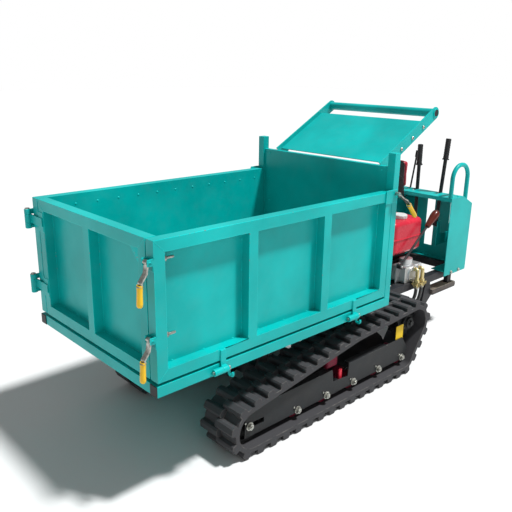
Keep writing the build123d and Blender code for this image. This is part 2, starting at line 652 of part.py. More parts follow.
def drive_sprocket():
    """Two toothed plates on a hub that is keyed to the half shaft."""
    x, z = SPROCKET_CENTRE
    tip = SPROCKET_RADIUS - 1.2
    root = tip - 13.0
    teeth = 12
    points = []
    for tooth in range(teeth):
        for share, radius in ((0.0, root), (0.3, root), (0.45, tip), (0.65, tip), (0.8, root)):
            angle = 2 * pi * (tooth + share) / teeth
            points.append((x + radius * cos(angle), z + radius * sin(angle)))
    plates = [side_profile(points, TRACK_MIDDLE + s * 24 - 6, TRACK_MIDDLE + s * 24 + 6) for s in (1, -1)]
    hub = rod((x, TRACK_MIDDLE - 30, z), (x, TRACK_MIDDLE + 44, z), 38.0)
    cap = rod((x, TRACK_MIDDLE + 44, z), (x, TRACK_MIDDLE + 56, z), 26.0)
    nut = hexagon((x, TRACK_MIDDLE + 56, z), (x, TRACK_MIDDLE + 66, z), 24.0)
    shaft = rod((x, 24, z), (x, TRACK_MIDDLE + 10, z), HALF_SHAFT_RADIUS)
    return fused(*plates, hub, cap, nut, shaft)


def wheel(x, z, radius, width, axle, groove=6.0, flange=0.0):
    """Wheel on the track's middle plane: two treads with a groove, bored for its axle."""
    y0 = TRACK_MIDDLE - width / 2
    y1 = TRACK_MIDDLE + width / 2
    body = rod((x, y0, z), (x, y1, z), radius)
    ring = rod((x, TRACK_MIDDLE - width / 6, z), (x, TRACK_MIDDLE + width / 6, z), radius + 1) - rod(
        (x, TRACK_MIDDLE - width / 6 - 1, z), (x, TRACK_MIDDLE + width / 6 + 1, z), radius - groove)
    bore = rod((x, y0 - 1, z), (x, y1 + 1, z), axle + RUNNING_FIT)
    result = body - ring - bore
    if flange:
        dish = rod((x, y1 - flange, z), (x, y1 + 1, z), radius - 14) - rod(
            (x, y1 - flange - 1, z), (x, y1 + 2, z), axle + 14)
        result = result - dish - mirror(dish, about=Plane.XZ.offset(-TRACK_MIDDLE))
    return result


def track_frame():
    """Left side plates, joined by the wheel axles and the carrier's arm."""
    low = ROLLER_HEIGHT - 10
    last_roller = ROLLER_STATIONS[-1]
    outer = side_profile([(810, low), (806, 150), (790, 183), (322, 184), (313, 126), (217, 119),
                          (212, 178), (-180, 180), (last_roller - 47, ROLLER_HEIGHT + 32),
                          (last_roller - 29, low)],
                         FRAME_PLATE_OUTER - FRAME_PLATE, FRAME_PLATE_OUTER)
    slot_half = 11.0
    x, z = IDLER_CENTRE
    slot = block(x - 74, x - 18, FRAME_PLATE_OUTER - FRAME_PLATE - 1, FRAME_PLATE_OUTER + 1,
                 z - slot_half, z + slot_half)
    outer = outer - slot
    front_lip = block(332, 704, FRAME_PLATE_OUTER - 34, FRAME_PLATE_OUTER - 1, 178, 183)
    rear_lip = block(-62, 205, FRAME_PLATE_OUTER - 34, FRAME_PLATE_OUTER - 1, 173, 178)
    inner = side_profile([(810, low), (806, 150), (790, 176), (330, 186), (240, 206), (-110, 206),
                          (-176, 150), (-210, 98), (-206, low)],
                         FRAME_PLATE_INNER, FRAME_PLATE_INNER + FRAME_PLATE)
    parts = [outer, front_lip, rear_lip, inner]
    ends = (FRAME_PLATE_INNER, FRAME_PLATE_OUTER)
    parts.append(rod((x, ends[0], z), (x, ends[1], z), IDLER_AXLE_RADIUS))
    for station in ROLLER_STATIONS:
        parts.append(rod((station, ends[0], ROLLER_HEIGHT), (station, ends[1], ROLLER_HEIGHT),
                         ROLLER_AXLE_RADIUS))
    for station in (610.0, 266.0, 88.0):
        parts.append(rod((station, ends[0], SPACER_HEIGHT), (station, ends[1], SPACER_HEIGHT), 10.0))
    cx, cz = CARRIER_CENTRE
    arm = side_profile([(cx - 26, 200), (cx - 16, cz + 14), (cx + 16, cz + 14), (cx + 26, 200)],
                       FRAME_PLATE_INNER, FRAME_PLATE_INNER + FRAME_PLATE)
    axle = rod((cx, FRAME_PLATE_INNER, cz), (cx, TRACK_MIDDLE + 38, cz), ROLLER_AXLE_RADIUS)
    parts.extend([arm, axle])
    return fused(*parts)


def track_axle_bolts():
    """Zinc bolt heads with washers on each axle's outer end, and a grease nipple beside each."""
    bolts = []
    spots = [IDLER_CENTRE] + [(station, ROLLER_HEIGHT) for station in ROLLER_STATIONS]
    for x, z in spots:
        y = FRAME_PLATE_OUTER
        washer = rod((x, y, z), (x, y + 3, z), 17.0)
        head = hexagon((x, y + 3, z), (x, y + 12, z), 22.0)
        tip = rod((x, y + 12, z), (x, y + 16, z), 6.0)
        dot = rod((x + 22, y, z + 20), (x + 22, y + 4, z + 20), 4.0)
        bolts.extend(both_sides(fused(washer, head, tip)))
        bolts.extend(both_sides(dot))
    cx, cz = CARRIER_CENTRE
    cap = rod((cx, TRACK_MIDDLE + 38, cz), (cx, TRACK_MIDDLE + 44, cz), 17.0)
    bolts.extend(both_sides(cap))
    return bolts


# ---------------------------------------------------------------- chassis
def chassis_frame():
    """Two box rails, cross members, lateral track beams, tipping uprights and engine plate."""
    top = RAIL_BOTTOM + RAIL_HEIGHT
    inner = RAIL_OUTER - RAIL_WIDTH
    parts = [block(RAIL_REAR, RAIL_FRONT, side * inner, side * RAIL_OUTER, RAIL_BOTTOM,
                   top) for side in (1, -1)]
    for x in (RAIL_FRONT - 20, 330.0, -20.0, -640.0, RAIL_REAR + 20):
        parts.append(block(x - 20, x + 20, -inner, inner, RAIL_BOTTOM, top))
    for x in CROSS_BEAM_STATIONS:
        parts.append(block(x - CROSS_BEAM_SIZE / 2, x + CROSS_BEAM_SIZE / 2, -FRAME_PLATE_INNER,
                           FRAME_PLATE_INNER,
                           CROSS_BEAM_BOTTOM, CROSS_BEAM_BOTTOM + CROSS_BEAM_SIZE))
        for side in (1, -1):
            parts.append(block(x - CROSS_BEAM_SIZE / 2, x + CROSS_BEAM_SIZE / 2, side * inner,
                               side * (inner + 10),
                               CROSS_BEAM_BOTTOM + CROSS_BEAM_SIZE, RAIL_BOTTOM))
    for side in (1, -1):
        for reach in (-14, 14):
            y = side * TIP_LUG_OFFSET + reach
            parts.append(side_profile([(TIP_PIVOT[0] - 26, RAIL_BOTTOM + 2),
                                       (TIP_PIVOT[0] - 18, TIP_PIVOT[1] + 18),
                                       (TIP_PIVOT[0] + 18, TIP_PIVOT[1] + 18), (RAIL_FRONT,
                                                                                RAIL_BOTTOM + 2)],
                                      y - 5, y + 5))
    base_x, base_z = CYLINDER_BASE
    beam_face = CROSS_BEAM_STATIONS[0] + CROSS_BEAM_SIZE / 2
    for side in (1, -1):
        y = side * (EYE_WIDTH / 2 + 6)
        parts.append(side_profile([(beam_face - 1, base_z), (beam_face - 1, base_z + 26),
                                   (base_x + 10, base_z + 20),
                                   (base_x + 20, base_z), (base_x + 10, base_z - 20)], y - 5, y + 5))
    parts.append(block(-700, -400, -inner, inner, top - 8, top))
    parts.append(rod((base_x, -EYE_WIDTH, base_z), (base_x, EYE_WIDTH, base_z), CYLINDER_PIN_RADIUS))
    frame = fused(*parts)
    for side in (1, -1):
        y = side * TIP_LUG_OFFSET
        frame = frame - rod((TIP_PIVOT[0], y - 26, TIP_PIVOT[1]), (TIP_PIVOT[0], y + 26, TIP_PIVOT[1]),
                            TIP_PIN_RADIUS + RUNNING_FIT)
    return frame


def bed_rest_pads():
    """Rubber buffers on the rails that carry the lowered bed."""
    top = RAIL_BOTTOM + RAIL_HEIGHT
    pads = []
    for x in (240.0, 19.0):
        stand = block(x - 18, x + 18, RAIL_MIDDLE - 18, RAIL_MIDDLE + 18, top, BED_FRAME_BOTTOM - 0.4)
        pads.extend(both_sides(stand))
    return pads


def gearbox():
    """Aluminium drive housing under the rails, with axle tubes out to the sprockets."""
    x, z = SPROCKET_CENTRE
    case = block(x - 90, x + 84, -96, 96, z - 72, RAIL_BOTTOM)
    case = fillet(case.edges().filter_by(Axis.Y), 18.0)
    tube = rod((x, -246, z), (x, 246, z), 30.0)
    flange = rod((x, -110, z), (x, 110, z), 52.0)
    mount = block(x - 60, x + 60, -RAIL_OUTER + 2, RAIL_OUTER - 2, RAIL_BOTTOM - 10, RAIL_BOTTOM)
    body = fused(case, tube, flange, mount)
    for side in (1, -1):
        body = body - rod((x, side * 18, z), (x, side * 248, z), HALF_SHAFT_RADIUS + RUNNING_FIT)
    return body


def engine_block():
    """Crankcase with a slanted finned cylinder and head, over the engine plate."""
    x0, x1 = -640.0, -430.0
    case = block(x0, x1, -92, 84, ENGINE_BED, 428)
    case = fillet(case.edges().filter_by(Axis.Y), 14.0)
    parts = [case]
    for index in range(6):
        z = 338 + 14 * index
        parts.append(block(x1 - 4, x1 + 66, -70, 62, z, z + 6))
    parts.append(block(x1 - 6, x1 + 58, -56, 48, ENGINE_BED + 4, 424))
    parts.append(block(x1 + 56, x1 + 84, -66, 58, ENGINE_BED + 4, HEAD_TOP))
    for y in (-60, 50):
        parts.append(block(x0 + 20, x1 - 20, y - 10, y + 10, 426, TANK_Z[0]))
    return fused(*parts)


def recoil_starter():
    """Round starter cover on the engine's right end."""
    x, z = -535.0, 385.0
    body = rod((x, -92, z), (x, -140, z), 54.0)
    body = fillet(body.edges().sort_by(Axis.Y)[0], 14.0)
    hub = rod((x, -140, z), (x, -146, z), 20.0)
    return body + hub


def air_filter():
    """Filter canister at the front of the tank, on its intake neck."""
    x, z = -362.0, 500.0
    can = rod((x, -96, z), (x, -20, z), 36.0)
    can = fillet(can.edges(), 6.0)
    neck = rod((x, -58, HEAD_TOP), (x, -58, z - 20), 13.0)
    return can + neck


def muffler():
    """Exhaust box beside the cylinder head with a short outlet."""
    box = block(-392, -350, 0, 74, HEAD_TOP, 540)
    box = fillet(box.edges(), 12.0)
    outlet = rod((-371, 70, 512), (-371, 96, 512), 10.0)
    return box + outlet


def fuel_tank():
    """Pressed tank in two halves with a welded seam and a raised filler neck."""
    x0, x1 = TANK_X
    z0, z1 = TANK_Z
    body = block(x0, x1, -TANK_HALF_WIDTH, TANK_HALF_WIDTH, z0, z1)
    body = fillet(body.edges().filter_by(Axis.Z), 34.0)
    body = fillet(body.faces().sort_by(Axis.Z)[-1].edges(), 22.0)
    body = chamfer(body.faces().sort_by(Axis.Z)[0].edges(), 16.0)
    middle = (z0 + z1) / 2 - 6
    seam = block(x0 - 4, x1 + 4, -TANK_HALF_WIDTH - 4, TANK_HALF_WIDTH + 4, middle, middle + 4)
    seam = fillet(seam.edges().filter_by(Axis.Z), 38.0)
    neck = rod((*CAP_CENTRE, z1 - 4), (*CAP_CENTRE, z1 + 9), CAP_RADIUS - 9)
    return fused(body, seam, neck)


def fuel_cap():
    """Ribbed screw cap that rests over the filler neck."""
    z = TANK_Z[1]
    cap = rod((*CAP_CENTRE, z + 1), (*CAP_CENTRE, z + 22), CAP_RADIUS)
    cap = fillet(cap.edges().sort_by(Axis.Z)[-1], 6.0)
    hollow = rod((*CAP_CENTRE, z), (*CAP_CENTRE, z + 9.5), CAP_RADIUS - 9 + 0.4)
    ribs = [Pos(CAP_CENTRE[0], CAP_CENTRE[1], z + 9) * Rot(0, 0, 30 * k) * Pos(CAP_RADIUS, 0, 0) * Box(3,
                                                                                                       5, 14)
            for k in range(12)]
    return fused(cap, *ribs) - hollow


def hydraulic_pump():
    """Aluminium pump and valve body on the left rail, with two ports on its outer face."""
    x0, x1 = PUMP_X
    y0, y1 = PUMP_Y
    body = block(x0, x1, y0, y1 - 12, PUMP_Z[0], PUMP_Z[1] - 30)
    body = fillet(body.edges().filter_by(Axis.Y), 12.0)
    dome = rod(((x0 + x1) / 2 + 10, (y0 + y1) / 2 - 8, PUMP_Z[1] - 34),
               ((x0 + x1) / 2 + 10, (y0 + y1) / 2 - 8, PUMP_Z[1]), 34.0)
    flange = rod(((x0 + x1) / 2 + 10, y1 - 14, 372), ((x0 + x1) / 2 + 10, y1 - 4, 372), 40.0)
    drive = rod(((x0 + x1) / 2 + 10, 84, 380), ((x0 + x1) / 2 + 10, y0 + 2, 380), 30.0)
    ports = [rod((x, y1 - 14, 400), (x, y1, 400), 14.0) for x in ELBOW_STATIONS]
    mount = block(GEAR_PIVOT[0] - 22, GEAR_PIVOT[0] + 8, GEAR_OFFSET - 20, GEAR_OFFSET - 14, ENGINE_BED,
                  GEAR_PIVOT[1] + 12)
    link = block(x1 - 6, GEAR_PIVOT[0], GEAR_OFFSET - 20, GEAR_OFFSET - 14, PUMP_Z[0], 380)
    pin = rod((GEAR_PIVOT[0], GEAR_OFFSET - 16, GEAR_PIVOT[1]),
              (GEAR_PIVOT[0], GEAR_OFFSET + 14, GEAR_PIVOT[1]), 6.0)
    return fused(body, dome, flange, drive, *ports, mount, link, pin)


def hose_elbows():
    """Brass elbows from the pump ports, turned down into crimped hose ferrules."""
    elbows = []
    for x in ELBOW_STATIONS:
        y = PUMP_Y[1]
        bend = bent_tube([(x, y, 400), (x, ELBOW_OFFSET, 400), (x, ELBOW_OFFSET, 330)], 11.0, 10.0)
        collar = hexagon((x, ELBOW_OFFSET, 346), (x, ELBOW_OFFSET, 330), 24.0)
        ferrule = rod((x, ELBOW_OFFSET, 330), (x, ELBOW_OFFSET, FERRULE_END), 12.0)
        elbows.append(fused(bend, collar, ferrule))
    return elbows


def hoses_and_cables():
    """Hydraulic hoses to the gearbox valve and the thin control cable to the engine."""
    x1, x2 = ELBOW_STATIONS
    y, z = ELBOW_OFFSET, FERRULE_END
    case = SPROCKET_CENTRE[0] - 90
    hose_one = bent_tube([(x1, y, z), (x1, y, z - 52), (x1 + 34, y - 20, z - 92), (x1 + 96, y - 76, z - 96),
                          (case - 42, 70, 214), (case, 70, 214)], 24.0, HOSE_RADIUS)
    hose_two = bent_tube([(x2, y, z), (x2, y, z - 60), (x2 + 40, y - 18, z - 116),
                          (x2 + 128, y - 90, z - 124),
                          (case - 46, 40, 214), (case, 40, 214)], 24.0, HOSE_RADIUS)
    cable = bent_tube([(-620, -92, 410), (-620, -132, 410), (-624, -160, 452), (-632, -166, 560),
                       (-642, -158, 660),
                       (-668, -122, 770), (-702, -86, 838), (-744, -76, 812), (-762, -77, 756), (-770,
                                                                                                 -80, 712),
                       (-796, -92, 690), (-836, -108, 688), (-878, -120, 697)], 18.0, CABLE_RADIUS)
    return [hose_one, hose_two, cable]


def gear_lever():
    """Straight steel rod with a pear-shaped grip, on a pin at the pump bracket."""
    dx, dz = GEAR_TIP[0] - GEAR_PIVOT[0], GEAR_TIP[1] - GEAR_PIVOT[1]
    length = hypot(dx, dz)
    ux, uz = dx / length, dz / length

    def along(distance):
        return (GEAR_PIVOT[0] + ux * distance, GEAR_OFFSET, GEAR_PIVOT[1] + uz * distance)

    eye = rod((GEAR_PIVOT[0], GEAR_OFFSET - 12, GEAR_PIVOT[1]),
              (GEAR_PIVOT[0], GEAR_OFFSET + 10, GEAR_PIVOT[1]), 14.0)
    bore = rod((GEAR_PIVOT[0], GEAR_OFFSET - 13, GEAR_PIVOT[1]),
               (GEAR_PIVOT[0], GEAR_OFFSET + 11, GEAR_PIVOT[1]),
               6.0 + RUNNING_FIT)
    stem = rod(along(10), along(length - 100), 6.0)
    start = Vector(*along(length - 112))
    plane = Plane(origin=start, x_dir=(0, 1, 0), z_dir=(ux, 0, uz))
    outline = Polyline((0, 0), (13, 0), (15, 20), (21, 70), (20, 96), (13, 110), (0, 112), close=True)
    grip = revolve(Plane.XZ * make_face(outline), Axis.Z)
    grip = Location(plane) * grip
    return [fused(eye, stem) - bore - grip, grip]


def steering_lever(side):
    """Upright hand lever with a collar and grip, pivoted inside the console."""
    foot_x, top_x, top_z = LEVER_FEET[0 if side > 0 else 1]
    y = side * LEVER_OFFSET
    share = (LEVER_PIVOT_HEIGHT - CONSOLE_TOP) / (top_z - CONSOLE_TOP)
    pivot_x = foot_x + (top_x - foot_x) * share
    length = hypot(top_x - pivot_x, top_z - LEVER_PIVOT_HEIGHT)
    ux, uz = (top_x - pivot_x) / length, (top_z - LEVER_PIVOT_HEIGHT) / length

    def along(distance):
        return (pivot_x + ux * distance, y, LEVER_PIVOT_HEIGHT + uz * distance)

    stem = rod(along(0), along(length - 20), LEVER_RADIUS)
    grip = rod(along(length - LEVER_GRIP_LENGTH), along(length), LEVER_GRIP_RADIUS)
    collar = rod(along(length - LEVER_GRIP_LENGTH - 6), along(length - LEVER_GRIP_LENGTH),
                 LEVER_GRIP_RADIUS + 5)
    eye = rod((pivot_x, y - 12, LEVER_PIVOT_HEIGHT), (pivot_x, y + 12, LEVER_PIVOT_HEIGHT), 17.0)
    bore = rod((pivot_x, y - 13, LEVER_PIVOT_HEIGHT), (pivot_x, y + 13, LEVER_PIVOT_HEIGHT),
               LEVER_PIN_RADIUS + RUNNING_FIT)
    return fused(stem, grip, collar, eye) - bore


def lever_pivot_x(side):
    foot_x, top_x, top_z = LEVER_FEET[0 if side > 0 else 1]
    return foot_x + (top_x - foot_x) * (LEVER_PIVOT_HEIGHT - CONSOLE_TOP) / (top_z - CONSOLE_TOP)


def throttle_lever():
    """Thin lever beside the left steering lever, with a small knob, on a friction pivot."""
    y = THROTTLE_OFFSET
    x0, x1 = -890.0, -938.0
    z0, z1 = 700.0, 938.0
    stem = rod((x0, y, z0), (x1, y, z1), 5.0)
    knob = rod((x1 + 7, y, z1 - 36), (x1, y, z1), 9.0)
    eye = rod((x0, y - 7, z0), (x0, y + 7, z0), 11.0)
    bore = rod((x0, y - 8, z0), (x0, y + 8, z0), 4.0 + RUNNING_FIT)
    return fused(stem, knob, eye) - bore


# ---------------------------------------------------------------- console
def console_outline():
    """Side view of the console."""
    return [(CONSOLE_FRONT, CONSOLE_BOTTOM), (CONSOLE_FRONT, CONSOLE_TOP), (CONSOLE_CREST, CONSOLE_TOP),
            (CONSOLE_REAR, CONSOLE_REAR_TOP), (CONSOLE_REAR, CONSOLE_BOTTOM)]


def console_frame():
    """Top plate with lever slots, rear plate with windows, lever shaft and its supports."""
    width = CONSOLE_HALF_WIDTH - CONSOLE_SHEET
    t = CONSOLE_SHEET
    top = block(CONSOLE_CREST, CONSOLE_FRONT, -width, width, CONSOLE_TOP - t, CONSOLE_TOP)
    lip = block(CONSOLE_FRONT - t, CONSOLE_FRONT, -width, width, CONSOLE_TOP - 20, CONSOLE_TOP)
    slope = side_profile([(CONSOLE_CREST, CONSOLE_TOP), (CONSOLE_REAR, CONSOLE_REAR_TOP),
                          (CONSOLE_REAR + t, CONSOLE_REAR_TOP - t), (CONSOLE_CREST,
                                                                     CONSOLE_TOP - t)], -width, width)
    rear = block(CONSOLE_REAR, CONSOLE_REAR + t, -width, width, RAIL_BOTTOM + RAIL_HEIGHT, CONSOLE_REAR_TOP)
    windows = [block(CONSOLE_REAR - 1, CONSOLE_REAR + t + 1, -60, -10, 395, 667),
               block(CONSOLE_REAR - 1, CONSOLE_REAR + t + 1, 86, 136, 545, 667)]
    shell = fused(top, lip, slope, rear)
    for window in windows:
        shell = shell - window
    for y in (LEVER_OFFSET, -LEVER_OFFSET):
        shell = shell - block(CONSOLE_CREST - 80, CONSOLE_FRONT - 60, y - 13, y + 13, CONSOLE_REAR_TOP - 20,
                              CONSOLE_TOP + 1)
    shell = shell - block(CONSOLE_CREST - 60, CONSOLE_FRONT - 70, THROTTLE_OFFSET - 8, THROTTLE_OFFSET + 8,
                          CONSOLE_REAR_TOP - 20, CONSOLE_TOP + 1)
    x_left, x_right = lever_pivot_x(1), lever_pivot_x(-1)
    for x, side in ((x_left, 1), (x_right, -1)):
        y = side * LEVER_OFFSET
        near, far = y + side * 16, y + side * 22
        post = block(x - 14, x + 14, near, far, LEVER_PIVOT_HEIGHT - 120, LEVER_PIVOT_HEIGHT + 16)
        tie = block(CONSOLE_REAR + t, x - 14, near, far, LEVER_PIVOT_HEIGHT - 120, LEVER_PIVOT_HEIGHT - 60)
        pin = rod((x, y - side * 15, LEVER_PIVOT_HEIGHT), (x, y + side * 18, LEVER_PIVOT_HEIGHT),
                  LEVER_PIN_RADIUS)
        shell = fused(shell, post, tie, pin)
    tab = block(-900, -880, THROTTLE_OFFSET - 14, THROTTLE_OFFSET - 9, 690, CONSOLE_TOP)
    stub = rod((-890, THROTTLE_OFFSET - 12, 700), (-890, THROTTLE_OFFSET + 8, 700), 4.0)
    floor = block(CONSOLE_REAR, CONSOLE_FRONT, -width, width, RAIL_BOTTOM + RAIL_HEIGHT,
                  RAIL_BOTTOM + RAIL_HEIGHT + t)
    floor = floor - block(CONSOLE_REAR + 30, CONSOLE_FRONT + 1, -130, 130, RAIL_BOTTOM, CONSOLE_BOTTOM + 60)
    return fused(shell, tab, stub, floor)


def console_side_panel():
    """Left cheek plate with flanges folded in along its front, top and rear edges."""
    y1 = CONSOLE_HALF_WIDTH
    y0 = y1 - CONSOLE_SHEET
    plate = side_profile(console_outline(), y0, y1)
    return plate


def console_bolts():
    """Painted button bolts along the cheek edges and the zinc pair at the foot."""
    y = CONSOLE_HALF_WIDTH
    bolts = []
    for z in (373.0, 494.0, 632.0):
        bolts.append(rod((CONSOLE_REAR, y - 14, z), (CONSOLE_REAR - 6, y - 14, z), 7.0))
    for x in (-811.0, -868.0):
        bolts.append(rod((x, y - 14, CONSOLE_TOP), (x, y - 14, CONSOLE_TOP + 5), 6.0))
    for x in (-850.0, -927.0):
        head = hexagon((x, y, 316), (x, y + 6, 316), 16.0)
        bolts.append(rod((x, y, 316), (x, y + 1.6, 316), 10.5) + head)
    result = []
    for bolt in bolts:
        result.extend(both_sides(bolt))
    return result


def grab_handle():
    """Inverted U tube welded inside the left cheek."""
    y = HANDLE_OFFSET
    bend = (HANDLE_FRONT - HANDLE_REAR) / 2 - 4
    tube = bent_tube([(HANDLE_FRONT, y, CONSOLE_TOP - 20), (HANDLE_FRONT, y, HANDLE_TOP),
                      (HANDLE_REAR, y, HANDLE_TOP), (HANDLE_REAR, y, CONSOLE_TOP - 50)], bend,
                     HANDLE_TUBE_RADIUS)
    console = side_profile(console_outline(), y - 20, y + 20)
    return tube - console


def cushion():
    """Red padded block on the console's right shoulder."""
    x1 = CONSOLE_FRONT - CONSOLE_SHEET - 1
    pad = block(x1 - CUSHION_THICKNESS, x1, *CUSHION_Y, *CUSHION_Z)
    pad = fillet(pad.edges().filter_by(Axis.X), 22.0)
    return fillet(pad.faces().sort_by(Axis.X)[0].edges(), 16.0)


def cushion_backing():
    """Black steel plate behind the pad, its foot bolted to the console lip."""
    x0 = CONSOLE_FRONT
    low = CONSOLE_TOP - 20
    plate = block(x0, x0 + BACKING_PLATE, CUSHION_Y[0], CUSHION_Y[1], low, CUSHION_Z[1] - 4)
    plate = fillet(plate.edges().filter_by(Axis.X).sort_by(Axis.Z)[-2:], 20.0)
    behind = block(x0 - CONSOLE_SHEET - 1, x0, CUSHION_Y[0] + 12, CUSHION_Y[1] - 12, CONSOLE_TOP + 14,
                   CUSHION_Z[1] - 26)
    return plate + behind


def foot_rests():
    """Two step bars beside the rear rails, each carried by a sloping strut."""
    z1 = FOOT_REST_TOP
    z0 = z1 - FOOT_REST_THICKNESS
    y0 = FOOT_REST_OFFSET - FOOT_REST_WIDTH / 2
    x1 = FOOT_REST_FRONT
    pad = block(x1 - FOOT_REST_LENGTH, x1, y0, y0 + FOOT_REST_WIDTH, z0, z1)
    pad = fillet(pad.edges().filter_by(Axis.Z), 8.0)
    strut = side_profile([(x1 + 10, RAIL_BOTTOM), (x1 + 52, RAIL_BOTTOM), (x1 + 76, z0 - 40),
                          (x1 + 40, z0 - 52),
                          (x1 - 20, z0), (x1 - 60, z0), (x1 - 60, z0 + 8), (x1 - 6, z0 + 8)],
                         FOOT_REST_OFFSET - 16, FOOT_REST_OFFSET + 16)
    arm = block(x1 - FOOT_REST_LENGTH + 30, x1 - FOOT_REST_LENGTH + 66, RAIL_MIDDLE - 12,
                RAIL_MIDDLE + 12, z1 - 2,
                RAIL_BOTTOM)
    return both_sides(fused(pad, strut, arm))


# ---------------------------------------------------------------- tipping cylinder
def cylinder_frame():
    """Unit vector and length from the base pin to the rod eye."""
    dx = CYLINDER_EYE[0] - CYLINDER_BASE[0]
    dz = CYLINDER_EYE[1] - CYLINDER_BASE[1]
    length = hypot(dx, dz)
    return dx / length, dz / length, length


def cylinder_point(distance):
    ux, uz, _ = cylinder_frame()
    return (CYLINDER_BASE[0] + ux * distance, 0, CYLINDER_BASE[1] + uz * distance)


def cylinder_barrel():
    """Barrel with its base eye and gland, bored for piston and rod."""
    _, _, length = cylinder_frame()
    top = length - 48
    eye = rod((CYLINDER_BASE[0], -EYE_WIDTH / 2, CYLINDER_BASE[1]),
              (CYLINDER_BASE[0], EYE_WIDTH / 2, CYLINDER_BASE[1]), EYE_RADIUS - 6)
    barrel = rod(cylinder_point(44), cylinder_point(top), CYLINDER_RADIUS)
    neck = rod(cylinder_point(4), cylinder_point(48), EYE_WIDTH / 2 - 1)
    chamber = rod(cylinder_point(54), cylinder_point(top - 16), CYLINDER_RADIUS - CYLINDER_WALL)
    gland = rod(cylinder_point(top - 20), cylinder_point(top + 1), ROD_RADIUS + RUNNING_FIT)
    pin = rod((CYLINDER_BASE[0], -EYE_WIDTH, CYLINDER_BASE[1]),
              (CYLINDER_BASE[0], EYE_WIDTH, CYLINDER_BASE[1]),
              CYLINDER_PIN_RADIUS + RUNNING_FIT)
    return fused(eye, barrel, neck) - chamber - gland - pin


def cylinder_rod():
    """Plated rod with its piston and the wide eye of the open pivot."""
    _, _, length = cylinder_frame()
    piston = rod(cylinder_point(57), cylinder_point(79), CYLINDER_RADIUS - CYLINDER_WALL - RUNNING_FIT)
    shank = rod(cylinder_point(60), cylinder_point(length - EYE_RADIUS + 4), ROD_RADIUS)
    eye = rod((CYLINDER_EYE[0], -EYE_WIDTH / 2 + 1, CYLINDER_EYE[1]),
              (CYLINDER_EYE[0], EYE_WIDTH / 2 - 1, CYLINDER_EYE[1]), EYE_RADIUS)
    hole = rod((CYLINDER_EYE[0], -EYE_WIDTH, CYLINDER_EYE[1]),
               (CYLINDER_EYE[0], EYE_WIDTH, CYLINDER_EYE[1]),
               CYLINDER_PIN_RADIUS + OPEN_PIVOT_PLAY)
    return fused(piston, shank, eye) - hole


# ---------------------------------------------------------------- export
def main():
    os.makedirs("parts", exist_ok=True)
    save("bed_frame", bed_frame())
    save("side_hinge_pins", *side_hinge_pins())
    save("headboard", headboard())
    save("cover_panel", cover_panel())
    save("cover_frame", cover_frame())
    save("cover_bolts", *cover_bolts())
    save("tube_end_caps", *tube_end_caps())
    save("left_gate", left_gate())
    save("latch_studs", *latch_studs())
    save("right_gate", right_gate())
    save("front_hinge_pins", *front_hinge_pins())
    save("front_gate", front_gate())
    save("front_upper_latch", *front_latch(LATCH_HEIGHTS[0]))
    save("front_lower_latch", *front_latch(LATCH_HEIGHTS[1]))
    save("rear_left_latch", *rear_latch())
    save("rear_right_latch", *[mirrored(piece) for piece in rear_latch()])

    belt = track_belt()
    save("track_belt_left", belt)
    save("track_belt_right", mirrored(belt))
    save("track_frames", *both_sides(track_frame()))
    save("track_axle_bolts", *track_axle_bolts())
    rollers = [(f"roller_{number}", x, ROLLER_HEIGHT, ROLLER_RADIUS - WHEEL_GAP, 76.0, ROLLER_AXLE_RADIUS,
                9.0, 6.0)
               for number, x in enumerate(ROLLER_STATIONS, start=1)]
    wheels = rollers + [
        ("idler", *IDLER_CENTRE, IDLER_RADIUS - WHEEL_GAP, 84.0, IDLER_AXLE_RADIUS, 7.0, 18.0),
        ("carrier", *CARRIER_CENTRE, CARRIER_RADIUS - WHEEL_GAP, 60.0, ROLLER_AXLE_RADIUS, 4.0, 0.0),
    ]
    for name, x, z, radius, width, axle, groove, flange in wheels:
        piece = wheel(x, z, radius, width, axle, groove, flange)
        save(f"{name}_left", piece)
        save(f"{name}_right", mirrored(piece))
    sprocket = drive_sprocket()
    save("sprocket_left", sprocket)
    save("sprocket_right", mirrored(sprocket))

    save("chassis_frame", chassis_frame(), *bed_rest_pads())
    save("gearbox", gearbox())
    save("engine_block", engine_block())
    save("recoil_starter", recoil_starter())
    save("air_filter", air_filter())
    save("muffler", muffler())
    save("fuel_tank", fuel_tank())
    save("fuel_cap", fuel_cap())
    save("hydraulic_pump", hydraulic_pump())
    save("hose_elbows", *hose_elbows())
    save("hoses_and_cables", *hoses_and_cables())
    save("gear_lever", *gear_lever())
    save("steering_lever_left", steering_lever(1))
    save("steering_lever_right", steering_lever(-1))
    save("throttle_lever", throttle_lever())
    save("console_frame", console_frame())
    save("console_side_panels", *both_sides(console_side_panel()))
    save("console_bolts", *console_bolts())
    save("grab_handle", grab_handle())
    save("cushion", cushion())
    save("cushion_backing", cushion_backing())
    save("foot_rests", *foot_rests())
    save("cylinder_barrel", cylinder_barrel())
    save("cylinder_rod", cylinder_rod())


main()
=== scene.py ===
"""Finished look of a tracked power wheelbarrow: paint, rubber, welds, hoses, cushion and studio.

Layout points are in millimetres: X from the headboard's rear plane, Y to the left, Z up from the ground.
"""

import json
from math import cos, pi, radians, sin

import bpy
from bpy.props import FloatProperty, FloatVectorProperty, IntProperty, PointerProperty
from mathutils import Matrix, Vector


